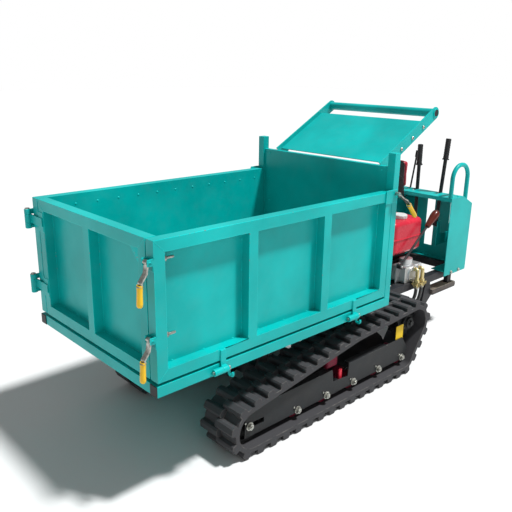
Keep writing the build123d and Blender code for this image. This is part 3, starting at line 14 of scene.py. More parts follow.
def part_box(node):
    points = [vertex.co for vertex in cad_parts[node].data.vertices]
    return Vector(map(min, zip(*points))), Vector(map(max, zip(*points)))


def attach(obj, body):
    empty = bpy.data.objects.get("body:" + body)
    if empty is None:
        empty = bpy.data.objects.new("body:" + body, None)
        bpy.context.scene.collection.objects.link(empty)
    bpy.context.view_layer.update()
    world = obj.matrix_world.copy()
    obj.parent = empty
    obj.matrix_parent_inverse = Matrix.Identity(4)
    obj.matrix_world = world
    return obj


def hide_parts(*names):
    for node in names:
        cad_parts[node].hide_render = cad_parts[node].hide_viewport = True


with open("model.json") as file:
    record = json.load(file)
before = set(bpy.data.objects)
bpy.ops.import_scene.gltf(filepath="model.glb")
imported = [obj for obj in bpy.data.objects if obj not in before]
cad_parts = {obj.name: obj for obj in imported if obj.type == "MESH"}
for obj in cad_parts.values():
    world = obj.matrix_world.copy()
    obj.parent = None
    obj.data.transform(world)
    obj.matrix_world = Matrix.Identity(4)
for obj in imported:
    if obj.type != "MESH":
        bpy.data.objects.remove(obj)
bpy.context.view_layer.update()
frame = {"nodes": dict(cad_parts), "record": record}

bl_info = {
    "name": "Tracked Power Wheelbarrow",
    "version": (1, 0, 0),
    "blender": (4, 5, 0),
    "location": "View3D > Sidebar > Wheelbarrow",
    "description": "Dresses the packed crawler dumper with finished pieces, materials and a studio",
    "category": "Object",
}

MM = 0.001
HEADBOARD_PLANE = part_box("bed_frame")[0].x
RECORD = frame["record"]
NODE_BODY = {node: body for body, nodes in RECORD["behaviour"]["bodies"].items() for node in nodes}


def at(x, y, z):
    """A layout point as metres in the row frame."""
    return Vector((HEADBOARD_PLANE + x * MM, y * MM, z * MM))


def layout_box(node):
    """Lowest and highest corners of a CAD node, in layout millimetres."""
    return [((corner - at(0, 0, 0)) / MM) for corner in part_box(node)]


def linear(hex_colour):
    """An sRGB hex colour as linear RGBA."""
    channels = [int(hex_colour[i:i + 2], 16) / 255 for i in (1, 3, 5)]
    return tuple(c / 12.92 if c <= 0.04045 else ((c + 0.055) / 1.055) ** 2.4 for c in channels) + (1.0,)


def per_mm(size):
    """Texture scale whose features are about that many millimetres across."""
    return 1.0 / (size * MM)


def shade(colour, amount):
    """A linear colour made darker or lighter."""
    return tuple(min(1.0, c * amount) for c in colour[:3]) + (1.0,)


# ---------------------------------------------------------------- sizes and colours
def colour_setting(name, hex_colour, description):
    return FloatVectorProperty(name=name, description=description, subtype="COLOR", size=4, min=0, max=1,
                               default=linear(hex_colour))


def length_setting(name, millimetres, description):
    return FloatProperty(name=name, description=description, unit="LENGTH", default=millimetres * MM, min=0.0)


class BarrowSizes(bpy.types.PropertyGroup):
    tube_round: length_setting("Tube corner radius", 1.8, "Rounding of the gates' and rails' tube edges")
    plate_round: length_setting("Plate edge radius", 0.9, "Rounding of cut plate edges")
    tack_radius: length_setting("Tack weld radius", 4.5, "Half width of a tack weld on the sheets")
    tack_pitch: length_setting("Tack weld pitch", 93.0, "Distance between tack welds along a sheet edge")
    seam_radius: length_setting("Mitre seam radius", 1.1, "Half width of the ground weld at a mitred corner")
    thread_pitch: length_setting("Stud thread pitch", 2.5, "Distance between threads, coarse enough to show")
    stud_reach: length_setting("Draw stud reach", 40.0, "Length of stud that shows behind the post")
    mat_pitch: length_setting("Step mat pitch", 9.0, "Cell size of the step bar's open mesh mat")
    cushion_crown: length_setting("Cushion crown", 7.0, "How far the cushion may swell when it is stuffed")
    recoil_slots: IntProperty(name="Recoil slots", description="Slots round the starter cover", default=12)
    key_strength: FloatProperty(name="Key light", description="Strength of the soft sun", default=4.4, min=0)
    air_strength: FloatProperty(name="Air light", description="Light from all round", default=0.28, min=0)
    camera_lens: FloatProperty(name="Lens", description="Focal length in mm", default=43.6, min=10)


class BarrowColours(bpy.types.PropertyGroup):
    teal: colour_setting("Bed teal", "#00b0ad", "Sprayed enamel on the bed, gates, cover and cheeks")
    black: colour_setting("Chassis black", "#26262a", "Satin enamel on the rails, console and levers")
    charcoal: colour_setting("Track frame charcoal", "#232527", "Satin enamel on the track side plates")
    roller_red: colour_setting("Roller red", "#7c1733", "Primer red on the track rollers")
    rubber: colour_setting("Track rubber", "#111215", "Carbon black rubber of the belts")
    zinc: colour_setting("Zinc plate", "#b9b9b2", "Bright zinc on bolts, studs and latch straps")
    brass: colour_setting("Brass", "#b3a273", "Brass hose elbows")
    aluminium: colour_setting("Cast aluminium", "#b4b6b9", "Sand cast pump and gearbox bodies")
    casting: colour_setting("Engine black", "#2b2b2d", "Heat proof paint on the engine castings")
    tank: colour_setting("Tank red", "#cf2a3e", "Gloss enamel on the fuel tank")
    cap: colour_setting("Cap grey", "#cfd0ce", "Polyethylene fuel cap")
    vinyl: colour_setting("Cushion red", "#b32338", "Vinyl cover of the cushion")
    knob: colour_setting("Gear grip brown", "#5c2016", "Phenolic gear lever grip")
    sleeve: colour_setting("Latch yellow", "#f2c014", "Dipped vinyl latch grips")
    mat: colour_setting("Step mat grey", "#b5ab9b", "Open mesh mat on the step bars")
    floor: colour_setting("Studio floor", "#d8d9d9", "Plain pale floor")


def sizes():
    return bpy.context.scene.barrow_sizes


def colours():
    return bpy.context.scene.barrow_colours


# ---------------------------------------------------------------- materials
def add(tree, kind, sockets=None, stops=None, **settings):
    """Add one node with its settings. A socket takes a value or another node's output."""
    made = tree.nodes.new(kind)
    for name, value in settings.items():
        setattr(made, name, value)
    for name, value in (sockets or {}).items():
        if isinstance(value, bpy.types.NodeSocket):
            tree.links.new(value, made.inputs[name])
        else:
            made.inputs[name].default_value = value
    if stops:
        ramp = made.color_ramp
        ramp.elements[0].position = stops[0][0]
        ramp.elements[1].position = stops[-1][0]
        for place, _ in stops[1:-1]:
            ramp.elements.new(place)
        for element, (_, colour) in zip(ramp.elements, stops):
            element.color = colour
    return made


def begin(name):
    """A new material with its tree, its surface socket and the piece's own coordinates."""
    material = bpy.data.materials.new(name)
    material.use_nodes = True
    tree = material.node_tree
    tree.nodes.clear()
    output = add(tree, "ShaderNodeOutputMaterial")
    place = add(tree, "ShaderNodeTexCoord").outputs["Object"]
    return material, tree, output.inputs["Surface"], place


def sprayed_enamel(name, colour, roughness, dust="#8f8c84", dust_share=0.16, chips=None):
    """Alkyd enamel sprayed on steel: uneven tone, thin dust in patches, orange peel in the gloss.
    chips is the colour that shows where a rubbed edge has lost its paint."""
    material, tree, surface, place = begin(name)
    tone = add(tree, "ShaderNodeTexNoise", {"Vector": place, "Scale": per_mm(240), "Detail": 4.0})
    paint = add(tree, "ShaderNodeValToRGB", {"Fac": tone.outputs["Fac"]},
                stops=[(0.32, shade(colour, 0.84)), (0.68, shade(colour, 1.12))])
    patches = add(tree, "ShaderNodeTexNoise",
                  {"Vector": place, "Scale": per_mm(70), "Detail": 8.0, "Roughness": 0.7})
    film = add(tree, "ShaderNodeMapRange", {
        "Value": patches.outputs["Fac"], "From Min": 0.45, "From Max": 0.8, "To Min": 0.0,
        "To Max": dust_share})
    coat = add(tree, "ShaderNodeMix", {0: film.outputs["Result"], 6: paint.outputs["Color"], 7: linear(dust)},
               data_type="RGBA")
    final = coat.outputs[2]
    if chips:
        specks = add(tree, "ShaderNodeTexNoise",
                     {"Vector": place, "Scale": per_mm(11), "Detail": 6.0, "Roughness": 0.65})
        mask = add(tree, "ShaderNodeMapRange",
                   {"Value": specks.outputs["Fac"], "From Min": 0.6, "From Max": 0.66})
        rubbed = add(tree, "ShaderNodeMix", {0: mask.outputs["Result"], 6: final, 7: linear(chips)},
                     data_type="RGBA")
        final = rubbed.outputs[2]
    gloss = add(tree, "ShaderNodeMapRange", {
        "Value": patches.outputs["Fac"], "From Min": 0.3, "From Max": 0.8, "To Min": roughness - 0.05,
        "To Max": roughness + 0.16})
    # orange peel is about 2 mm across, drawn at 4 mm so that it shows
    peel = add(tree, "ShaderNodeTexNoise", {"Vector": place, "Scale": per_mm(4), "Detail": 1.0})
    relief = add(tree, "ShaderNodeBump",
                 {"Height": peel.outputs["Fac"], "Strength": 0.12, "Distance": 0.3 * MM})
    shader = add(tree, "ShaderNodeBsdfPrincipled", {
        "Base Color": final, "Roughness": gloss.outputs["Result"], "Normal": relief.outputs["Normal"],
        "IOR": 1.45, "Specular IOR Level": 0.25, "Coat Weight": 0.03, "Coat Roughness": 0.15})
    tree.links.new(shader.outputs["BSDF"], surface)
    return material


def teal_enamel():
    return sprayed_enamel("teal_enamel", colours().teal, 0.34, dust_share=0.06)


def teal_enamel_highlit_worn():
    """The same enamel on the rounded tube edges, made lighter as a painted highlight, with small chips of
    wear down to grey primer.
    """
    return sprayed_enamel("teal_enamel_highlit_worn", shade(colours().teal, 1.28), 0.3, dust_share=0.06,
                          chips="#7d8b8c")


def black_enamel():
    return sprayed_enamel("black_enamel", colours().black, 0.42, dust_share=0.22)


def black_enamel_highlit_worn():
    """Rounded edge of the black enamel, made lighter as a painted highlight, with chips of wear down to a
    little bare steel.
    """
    return sprayed_enamel("black_enamel_highlit_worn", shade(colours().black, 1.9), 0.38, chips="#6a6a6a")


def charcoal_enamel():
    return sprayed_enamel("charcoal_enamel", colours().charcoal, 0.46, dust="#77736b", dust_share=0.12)


def charcoal_enamel_highlit_worn():
    """Rounded edge of the charcoal enamel, made lighter as a painted highlight, with chips of wear."""
    return sprayed_enamel("charcoal_enamel_highlit_worn", shade(colours().charcoal, 2.0), 0.4, chips="#8a8a88")


def roller_primer():
    return sprayed_enamel("roller_primer", colours().roller_red, 0.5, dust="#6b5c58", dust_share=0.3)


def tank_enamel():
    return sprayed_enamel("tank_enamel", colours().tank, 0.22, dust_share=0.06)


def heatproof_paint():
    """Rough heat proof paint on the engine castings."""
    return sprayed_enamel("heatproof_paint", colours().casting, 0.6, dust_share=0.3)


def marker_enamel():
    return sprayed_enamel("marker_enamel", linear("#f0c820"), 0.4, dust_share=0.1)


def worked_rubber(name, colour, dust, dust_share, grain, roughness=0.78):
    """Moulded carbon-black rubber: matt, finely grained, with dust held in the grain."""
    material, tree, surface, place = begin(name)
    patches = add(tree, "ShaderNodeTexNoise",
                  {"Vector": place, "Scale": per_mm(34), "Detail": 8.0, "Roughness": 0.72})
    film = add(tree, "ShaderNodeMapRange", {
        "Value": patches.outputs["Fac"], "From Min": 0.42, "From Max": 0.74, "To Min": 0.0,
        "To Max": dust_share})
    tone = add(tree, "ShaderNodeMix", {0: film.outputs["Result"], 6: colour, 7: linear(dust)},
               data_type="RGBA")
    fine = add(tree, "ShaderNodeTexNoise", {"Vector": place, "Scale": per_mm(grain), "Detail": 3.0})
    relief = add(tree, "ShaderNodeBump",
                 {"Height": fine.outputs["Fac"], "Strength": 0.35, "Distance": 0.5 * MM})
    gloss = add(tree, "ShaderNodeMapRange", {"Value": patches.outputs["Fac"], "To Min": roughness - 0.2,
                                             "To Max": roughness + 0.15})
    shader = add(tree, "ShaderNodeBsdfPrincipled", {
        "Base Color": tone.outputs[2], "Roughness": gloss.outputs["Result"],
        "Normal": relief.outputs["Normal"], "IOR": 1.52})
    tree.links.new(shader.outputs["BSDF"], surface)
    return material


def track_rubber():
    return worked_rubber("track_rubber", colours().rubber, "#4d4a46", 0.3, 3.0, 0.38)


def track_rubber_worn():
    """Lug edges, scuffed grey by the ground."""
    return worked_rubber("track_rubber_worn", linear("#2c2d2f"), "#787470", 0.75, 2.2)


def grip_rubber():
    return worked_rubber("grip_rubber", linear("#242224"), "#4a4644", 0.3, 1.6, 0.6)


def hose_rubber():
    """Hydraulic hose with a thin rubber cover, drawn with soft rings about 20 mm apart."""
    material, tree, surface, place = begin("hose_rubber")
    rings = add(tree, "ShaderNodeTexWave", {"Vector": place, "Scale": per_mm(3.2) / 20, "Distortion": 0.4},
                wave_type="BANDS", bands_direction="Z")
    tone = add(tree, "ShaderNodeValToRGB", {"Fac": rings.outputs["Fac"]},
               stops=[(0.2, linear("#121213")), (0.9, linear("#34343a"))])
    relief = add(tree, "ShaderNodeBump",
                 {"Height": rings.outputs["Fac"], "Strength": 0.5, "Distance": 0.8 * MM})
    shader = add(tree, "ShaderNodeBsdfPrincipled", {
        "Base Color": tone.outputs["Color"], "Roughness": 0.48, "Normal": relief.outputs["Normal"]})
    tree.links.new(shader.outputs["BSDF"], surface)
    return material


def cable_jacket():
    """Smooth black PVC jacket of the control cable."""
    return worked_rubber("cable_jacket", linear("#151516"), "#3c3c3c", 0.15, 6.0, 0.5)


def plated_metal(name, colour, roughness, spangle, tarnish):
    """Metal with a plated or cast skin: cloudy reflection, small spangle, darker tarnish in patches."""
    material, tree, surface, place = begin(name)
    clouds = add(tree, "ShaderNodeTexNoise", {"Vector": place, "Scale": per_mm(spangle), "Detail": 6.0})
    tone = add(tree, "ShaderNodeValToRGB", {"Fac": clouds.outputs["Fac"]},
               stops=[(0.3, linear(tarnish)), (0.55, tuple(colour)), (0.8, shade(colour, 1.15))])
    gloss = add(tree, "ShaderNodeMapRange", {"Value": clouds.outputs["Fac"], "From Min": 0.3, "From Max": 0.7,
                                             "To Min": roughness + 0.12, "To Max": roughness - 0.06})
    grain = add(tree, "ShaderNodeTexNoise", {"Vector": place, "Scale": per_mm(1.6), "Detail": 3.0})
    relief = add(tree, "ShaderNodeBump",
                 {"Height": grain.outputs["Fac"], "Strength": 0.12, "Distance": 0.3 * MM})
    shader = add(tree, "ShaderNodeBsdfPrincipled", {
        "Base Color": tone.outputs["Color"], "Roughness": gloss.outputs["Result"], "Metallic": 1.0,
        "Normal": relief.outputs["Normal"]})
    tree.links.new(shader.outputs["BSDF"], surface)
    return material


def zinc_plated_steel():
    return plated_metal("zinc_plated_steel", colours().zinc, 0.32, 9.0, "#84837c")


def yellow_brass():
    return plated_metal("yellow_brass", colours().brass, 0.28, 14.0, "#8f7742")


def chromed_steel():
    return plated_metal("chromed_steel", linear("#d6d8dc"), 0.12, 60.0, "#b9bcc0")


def cast_aluminium():
    """Sand cast aluminium: pale grey, matt, with a coarse grain of about 2 mm."""
    material, tree, surface, place = begin("cast_aluminium")
    clouds = add(tree, "ShaderNodeTexNoise", {"Vector": place, "Scale": per_mm(30), "Detail": 7.0})
    tone = add(tree, "ShaderNodeValToRGB", {"Fac": clouds.outputs["Fac"]},
               stops=[(0.3, shade(colours().aluminium, 0.55)), (0.7, tuple(colours().aluminium))])
    sand = add(tree, "ShaderNodeTexNoise", {"Vector": place, "Scale": per_mm(2.0), "Detail": 4.0})
    relief = add(tree, "ShaderNodeBump",
                 {"Height": sand.outputs["Fac"], "Strength": 0.4, "Distance": 0.5 * MM})
    shader = add(tree, "ShaderNodeBsdfPrincipled", {
        "Base Color": tone.outputs["Color"], "Roughness": 0.52, "Metallic": 0.85,
        "Normal": relief.outputs["Normal"]})
    tree.links.new(shader.outputs["BSDF"], surface)
    return material


def moulded_plastic(name, colour, roughness, grain=1.4, sheen=0.0):
    """Injection moulded or dipped plastic with a light spark-eroded grain."""
    material, tree, surface, place = begin(name)
    tone = add(tree, "ShaderNodeTexNoise", {"Vector": place, "Scale": per_mm(45), "Detail": 5.0})
    mix = add(tree, "ShaderNodeValToRGB", {"Fac": tone.outputs["Fac"]},
              stops=[(0.3, shade(colour, 0.86)), (0.7, shade(colour, 1.06))])
    fine = add(tree, "ShaderNodeTexNoise", {"Vector": place, "Scale": per_mm(grain), "Detail": 2.0})
    relief = add(tree, "ShaderNodeBump",
                 {"Height": fine.outputs["Fac"], "Strength": 0.12, "Distance": 0.3 * MM})
    gloss = add(tree, "ShaderNodeMapRange", {"Value": tone.outputs["Fac"], "To Min": roughness - 0.06,
                                             "To Max": roughness + 0.1})
    shader = add(tree, "ShaderNodeBsdfPrincipled", {
        "Base Color": mix.outputs["Color"], "Roughness": gloss.outputs["Result"],
        "Normal": relief.outputs["Normal"], "IOR": 1.46, "Sheen Weight": sheen})
    tree.links.new(shader.outputs["BSDF"], surface)
    return material


def black_nylon():
    return moulded_plastic("black_nylon", linear("#1d1d20"), 0.5)


def cap_polyethylene():
    return moulded_plastic("cap_polyethylene", colours().cap, 0.45)


def dipped_vinyl():
    return moulded_plastic("dipped_vinyl", colours().sleeve, 0.32, 3.0)


def phenolic_grip():
    return moulded_plastic("phenolic_grip", colours().knob, 0.2, 5.0)


def mat_wire():
    return moulded_plastic("mat_wire", colours().mat, 0.6, 2.0)


def mat_edge():
    """Dark rubber tray under the step bar's mat."""
    return worked_rubber("mat_edge", linear("#48403d"), "#6e665e", 0.5, 3.0)


def cushion_vinyl():
    """Expanded vinyl on knitted backing: a leather grain of 3 mm pebbles and a soft satin gloss."""
    material, tree, surface, place = begin("cushion_vinyl")
    pebbles = add(tree, "ShaderNodeTexVoronoi", {"Vector": place, "Scale": per_mm(3.0)},
                  feature="DISTANCE_TO_EDGE")
    tone = add(tree, "ShaderNodeTexNoise", {"Vector": place, "Scale": per_mm(60), "Detail": 5.0})
    mix = add(tree, "ShaderNodeValToRGB", {"Fac": tone.outputs["Fac"]},
              stops=[(0.3, shade(colours().vinyl, 0.75)), (0.7, shade(colours().vinyl, 1.15))])
    relief = add(tree, "ShaderNodeBump", {"Height": pebbles.outputs["Distance"], "Strength": 0.25,
                                          "Distance": 0.6 * MM})
    shader = add(tree, "ShaderNodeBsdfPrincipled", {
        "Base Color": mix.outputs["Color"], "Roughness": 0.42, "Normal": relief.outputs["Normal"],
        "Coat Weight": 0.15, "Coat Roughness": 0.3})
    tree.links.new(shader.outputs["BSDF"], surface)
    return material


def studio_paper():
    """Matt background paper with a barely visible tone."""
    material, tree, surface, place = begin("studio_paper")
    tone = add(tree, "ShaderNodeTexNoise", {"Vector": place, "Scale": per_mm(900), "Detail": 2.0})
    mix = add(tree, "ShaderNodeValToRGB", {"Fac": tone.outputs["Fac"]},
              stops=[(0.3, shade(colours().floor, 0.985)), (0.7, tuple(colours().floor))])
    shader = add(tree, "ShaderNodeBsdfPrincipled", {"Base Color": mix.outputs["Color"], "Roughness": 0.9})
    tree.links.new(shader.outputs["BSDF"], surface)
    return material


MAKERS = {maker.__name__: maker for maker in (
    teal_enamel, teal_enamel_highlit_worn, black_enamel, black_enamel_highlit_worn, charcoal_enamel, charcoal_enamel_highlit_worn,
    roller_primer, tank_enamel, heatproof_paint, marker_enamel, track_rubber, track_rubber_worn, grip_rubber,
    hose_rubber, cable_jacket, zinc_plated_steel, yellow_brass, chromed_steel, cast_aluminium, black_nylon,
    cap_polyethylene, dipped_vinyl, phenolic_grip, mat_wire, mat_edge, cushion_vinyl, studio_paper)}


def finish(name):
    """The material of that name, made when it is first asked for."""
    return bpy.data.materials.get(name) or MAKERS[name]()


# ---------------------------------------------------------------- shaping helpers
def only(piece):
    """Select one object and make it active."""
    bpy.ops.object.select_all(action="DESELECT")
    piece.select_set(True)
    bpy.context.view_layer.objects.active = piece


def edit(piece, select=True):
    """Enter edit mode on one object with everything, or nothing, selected."""
    only(piece)
    bpy.ops.object.mode_set(mode="EDIT")
    bpy.ops.mesh.select_mode(type="VERT")
    bpy.ops.mesh.select_all(action="SELECT" if select else "DESELECT")


def leave():
    bpy.ops.object.mode_set(mode="OBJECT")


def pick_faces(piece, wanted):
    """Enter edit mode with only the faces selected whose centre and normal pass the test."""
    edit(piece, select=False)
    bpy.ops.mesh.select_mode(type="FACE")
    leave()
    for face in piece.data.polygons:
        face.select = wanted(face)
    bpy.ops.object.mode_set(mode="EDIT")


def apply_modifier(piece, kind, **settings):
    """Add a modifier to the active piece with its settings and apply it."""
    only(piece)
    bpy.ops.object.modifier_add(type=kind)
    modifier = piece.modifiers[-1]
    for name, value in settings.items():
        setattr(modifier, name, value)
    bpy.ops.object.modifier_apply(modifier=modifier.name)


def settle(piece):
    """Put the piece's place, turn and size into its mesh."""
    only(piece)
    bpy.ops.object.transform_apply(location=True, rotation=True, scale=True)


def named(name):
    """The active object under a new name."""
    piece = bpy.context.object
    piece.name = name
    piece.data.name = name
    return piece


def stand(piece, base, axis):
    """Move a piece modelled about Z so that its foot is at base and it points along axis."""
    turn = Vector((0, 0, 1)).rotation_difference(Vector(axis).normalized()).to_matrix().to_4x4()
    piece.matrix_world = Matrix.Translation(base) @ turn
    settle(piece)


def complete(piece, finish_name, body, smooth=38):
    """Give a piece its material, smooth shading and body."""
    only(piece)
    if not piece.data.materials:
        piece.data.materials.append(finish(finish_name))
    bpy.ops.object.shade_smooth_by_angle(angle=radians(smooth))
    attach(piece, body)
    return piece


def rounded(piece, radius, segments=2, angle=32, edge_finish=None):
    """Round the edges sharper than an angle. The rounding may take a second material: a lighter paint as a
    painted highlight with chips of wear, or scuffed rubber.
    """
    settings = {"width": radius, "segments": segments, "limit_method": "ANGLE", "angle_limit": radians(angle),
                "use_clamp_overlap": False, "miter_outer": "MITER_ARC"}
    if edge_finish:
        piece.data.materials.append(finish(edge_finish))
        settings["material"] = 1
    apply_modifier(piece, "BEVEL", **settings)


def dressed(node, name, finish_name, radius, edge_finish=None, segments=2, smooth=38):
    """A copy of a CAD node with rounded edges and its finish, which stands for the node."""
    source = frame["nodes"][node]
    piece = source.copy()
    piece.data = source.data.copy()
    for key in [key for key in piece.keys() if key.startswith("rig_")]:
        del piece[key]
    bpy.context.scene.collection.objects.link(piece)
    piece.parent = None
    piece.matrix_world = Matrix.Identity(4)
    piece.name = name
    piece.data.materials.clear()
    piece.data.materials.append(finish(finish_name))
    edit(piece)
    if piece.data.has_custom_normals:
        bpy.ops.mesh.customdata_custom_splitnormals_clear()
    bpy.ops.mesh.remove_doubles(threshold=0.01 * MM)
    leave()
    if radius:
        rounded(piece, radius, segments, edge_finish=edge_finish)
    complete(piece, finish_name, NODE_BODY[node], smooth)
    apply_modifier(piece, "WEIGHTED_NORMAL", keep_sharp=True, weight=50)
    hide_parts(node)
    return piece


def turned(name, profile, base, axis, steps=28):
    """A lathe-turned piece: (radius, height) points in mm from its foot, spun about its axis."""
    bpy.ops.object.select_all(action="DESELECT")
    bpy.ops.mesh.primitive_plane_add(size=MM, location=(0, 0, 0))
    piece = named(name)
    edit(piece)
    bpy.ops.mesh.merge(type="CENTER")
    radius, height = profile[0]
    bpy.ops.transform.translate(value=(radius * MM, 0, height * MM))
    for (r0, h0), (r1, h1) in zip(profile, profile[1:]):
        bpy.ops.mesh.extrude_region_move(
            TRANSFORM_OT_translate={"value": ((r1 - r0) * MM, 0, (h1 - h0) * MM)})
    bpy.ops.mesh.select_all(action="SELECT")
    bpy.ops.mesh.spin(steps=steps, angle=2 * pi, center=(0, 0, 0), axis=(0, 0, 1))
    bpy.ops.mesh.select_all(action="SELECT")
    bpy.ops.mesh.remove_doubles(threshold=0.02 * MM)
    bpy.ops.mesh.normals_make_consistent(inside=False)
    leave()
    stand(piece, base, axis)
    return piece


def hex_head(name, across, height, base, axis):
    """A forged hexagon with its corners chamfered round the outer face and a shallow dish."""
    bpy.ops.object.select_all(action="DESELECT")
    bpy.ops.mesh.primitive_cylinder_add(vertices=6, radius=across / 2 / cos(pi / 6) * MM, depth=height * MM,
                                        location=(0, 0, height / 2 * MM))
    piece = named(name)
    settle(piece)
    pick_faces(piece, lambda face: face.normal.z > 0.9)
    bpy.ops.mesh.inset(thickness=across * 0.07 * MM)
    bpy.ops.mesh.inset(thickness=across * 0.16 * MM)
    bpy.ops.transform.translate(value=(0, 0, -0.08 * height * MM))
    leave()
    rounded(piece, 0.5 * MM, 2)
    stand(piece, base, axis)
    return piece


def cuboid(name, low, high):
    """A box between two layout points, before it is shaped."""
    lo, hi = at(*low), at(*high)
    bpy.ops.object.select_all(action="DESELECT")
    bpy.ops.mesh.primitive_cube_add(size=1.0, location=(lo + hi) / 2, scale=hi - lo)
    piece = named(name)
    settle(piece)
    return piece


def bead(name, start, end, radius):
    """A low half-round weld or seam between two layout points, with pointed ends."""
    a, b = at(*start), at(*end)
    length = (b - a).length / MM
    profile = [(0, 0), (radius * 0.7, radius), (radius, radius * 3), (radius, length - radius * 3),
               (radius * 0.7, length - radius), (0, length)]
    return turned(name, profile, a, b - a, steps=8)


def tack_row(name, start, end, across):
    """A row of flattened tack welds between two layout points, flat against the direction across."""
    a, b = at(*start), at(*end)
    run = (b - a).length
    count = max(2, int(run / sizes().tack_pitch) + 1)
    radius = sizes().tack_radius
    bpy.ops.object.select_all(action="DESELECT")
    bpy.ops.mesh.primitive_ico_sphere_add(subdivisions=2, radius=radius, location=(0, 0, 0))
    piece = named(name)
    piece.scale = [0.42 if axis else 1.0 for axis in across]
    settle(piece)
    piece.location = a
    settle(piece)
    step = (b - a) / (count - 1)
    apply_modifier(piece, "ARRAY", count=count, use_relative_offset=False, use_constant_offset=True,
                   constant_offset_displace=step)
    return piece


def joined(name, pieces):
    """Several meshes made into one piece."""
    bpy.ops.object.select_all(action="DESELECT")
    for piece in pieces:
        piece.select_set(True)
    bpy.context.view_layer.objects.active = pieces[0]
    if len(pieces) > 1:
        bpy.ops.object.join()
    return named(name)


def sleeve(name, start, end, profile, flatten=None, steps=32):
    """A turned grip between two layout points: profile gives (share of length, radius in mm)."""
    a, b = at(*start), at(*end)
    length = (b - a).length / MM
    outline = [(radius, share * length) for share, radius in profile]
    piece = turned(name, outline, Vector((0, 0, 0)), (0, 0, 1), steps)
    if flatten:
        piece.scale = flatten
        settle(piece)
    stand(piece, a, b - a)
    return piece


class BarrowOperator:
    """What all the operators share."""
    bl_options = {"REGISTER", "UNDO"}


# ---------------------------------------------------------------- cargo bed
HALF_WIDTH = 400.0
TUBE = 40.0
GATE_LOW, GATE_HIGH = layout_box("front_gate")
GATE_REAR, GATE_FRONT = 38.0, GATE_LOW.x + TUBE
GATE_BOTTOM, GATE_TOP = GATE_LOW.z, GATE_HIGH.z
FRONT_HALF = 356.0
SHEET_BOTTOM, SHEET_TOP = GATE_BOTTOM + TUBE, GATE_TOP - TUBE
SHEET_SINK = 3.0
# where the side sheet's bays start and end, between the tube frame and its two stiffeners
BAY_EDGES = (GATE_REAR + TUBE, 411.0, 451.0, 784.0, 824.0, GATE_FRONT - TUBE)
LATCH_HEIGHTS = (838.0, 594.0)
LATCH_OFFSET = HALF_WIDTH - 16
HEADBOARD_FACE, HEADBOARD_FOOT = 26.0, 441.0
POST_EDGE = 330.0
COVER_FOOT = Vector((-10.0, 985.0))
COVER_SLOPE, COVER_NORMAL = Vector((-375.0, 207.0)).normalized(), Vector((207.0, 375.0)).normalized()
COVER_BOLT_STATIONS = (145.0, 233.0, 321.0)
COVER_BOLT_DROP = 6.0
COVER_ARM_FACE = 306.0


class BARROW_OT_bed(BarrowOperator, bpy.types.Operator):
    """Finish the bed frame, headboard, hinge pins and plastic plugs"""
    bl_idname = "barrow.bed"
    bl_label = "Cargo bed"

    def execute(self, context):
        tube_round = sizes().tube_round
        dressed("bed_frame", "bed_rails", "teal_enamel", tube_round * 0.7, "teal_enamel_highlit_worn")
        dressed("headboard", "headboard_wall", "teal_enamel", tube_round * 0.7, "teal_enamel_highlit_worn")
        dressed("tube_end_caps", "rail_plugs", "black_nylon", 0.4 * MM)
        dressed("side_hinge_pins", "side_pins", "zinc_plated_steel", 0.5 * MM)
        rows = []
        for y in (-POST_EDGE, POST_EDGE):
            rows.append(tack_row(f"post_tacks_{y:.0f}", (HEADBOARD_FACE, y, HEADBOARD_FOOT + 79),
                                 (HEADBOARD_FACE, y, HEADBOARD_FOOT + 539), (1, 0, 0)))
        rows.append(tack_row("headboard_foot_tacks", (HEADBOARD_FACE, 10 - POST_EDGE, HEADBOARD_FOOT),
                             (HEADBOARD_FACE, POST_EDGE - 10, HEADBOARD_FOOT), (1, 0, 0)))
        complete(joined("headboard_tacks", rows), "teal_enamel_highlit_worn", "cargo_bed")
        return {"FINISHED"}


class BARROW_OT_cover(BarrowOperator, bpy.types.Operator):
    """Finish the sloped engine cover, its arms, grab tube and domed bolts"""
    bl_idname = "barrow.cover"
    bl_label = "Engine cover"

    def execute(self, context):
        plate_round = sizes().plate_round
        dressed("cover_panel", "cover_sheet", "teal_enamel", plate_round, "teal_enamel_highlit_worn")
        dressed("cover_frame", "cover_arms", "teal_enamel", plate_round, "teal_enamel_highlit_worn")
        button = [(0, 2.6), (2.6, 2.6), (3.2, 4.4), (4.2, 4.9), (6.4, 4.3), (7.8, 2.4), (8.0, 0.8), (8.0, 0),
                  (0, 0)]
        heads = []
        for number, station in enumerate(COVER_BOLT_STATIONS):
            point = COVER_FOOT + COVER_SLOPE * station - COVER_NORMAL * COVER_BOLT_DROP
            for side in (1, -1):
                heads.append(turned(f"cover_bolt_{number}_{side}", button,
                                    at(point.x, side * COVER_ARM_FACE, point.y), (0, side, 0), 20))
        bolts = joined("cover_button_bolts", heads)
        complete(bolts, "zinc_plated_steel", "cargo_bed")
        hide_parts("cover_bolts")
        return {"FINISHED"}


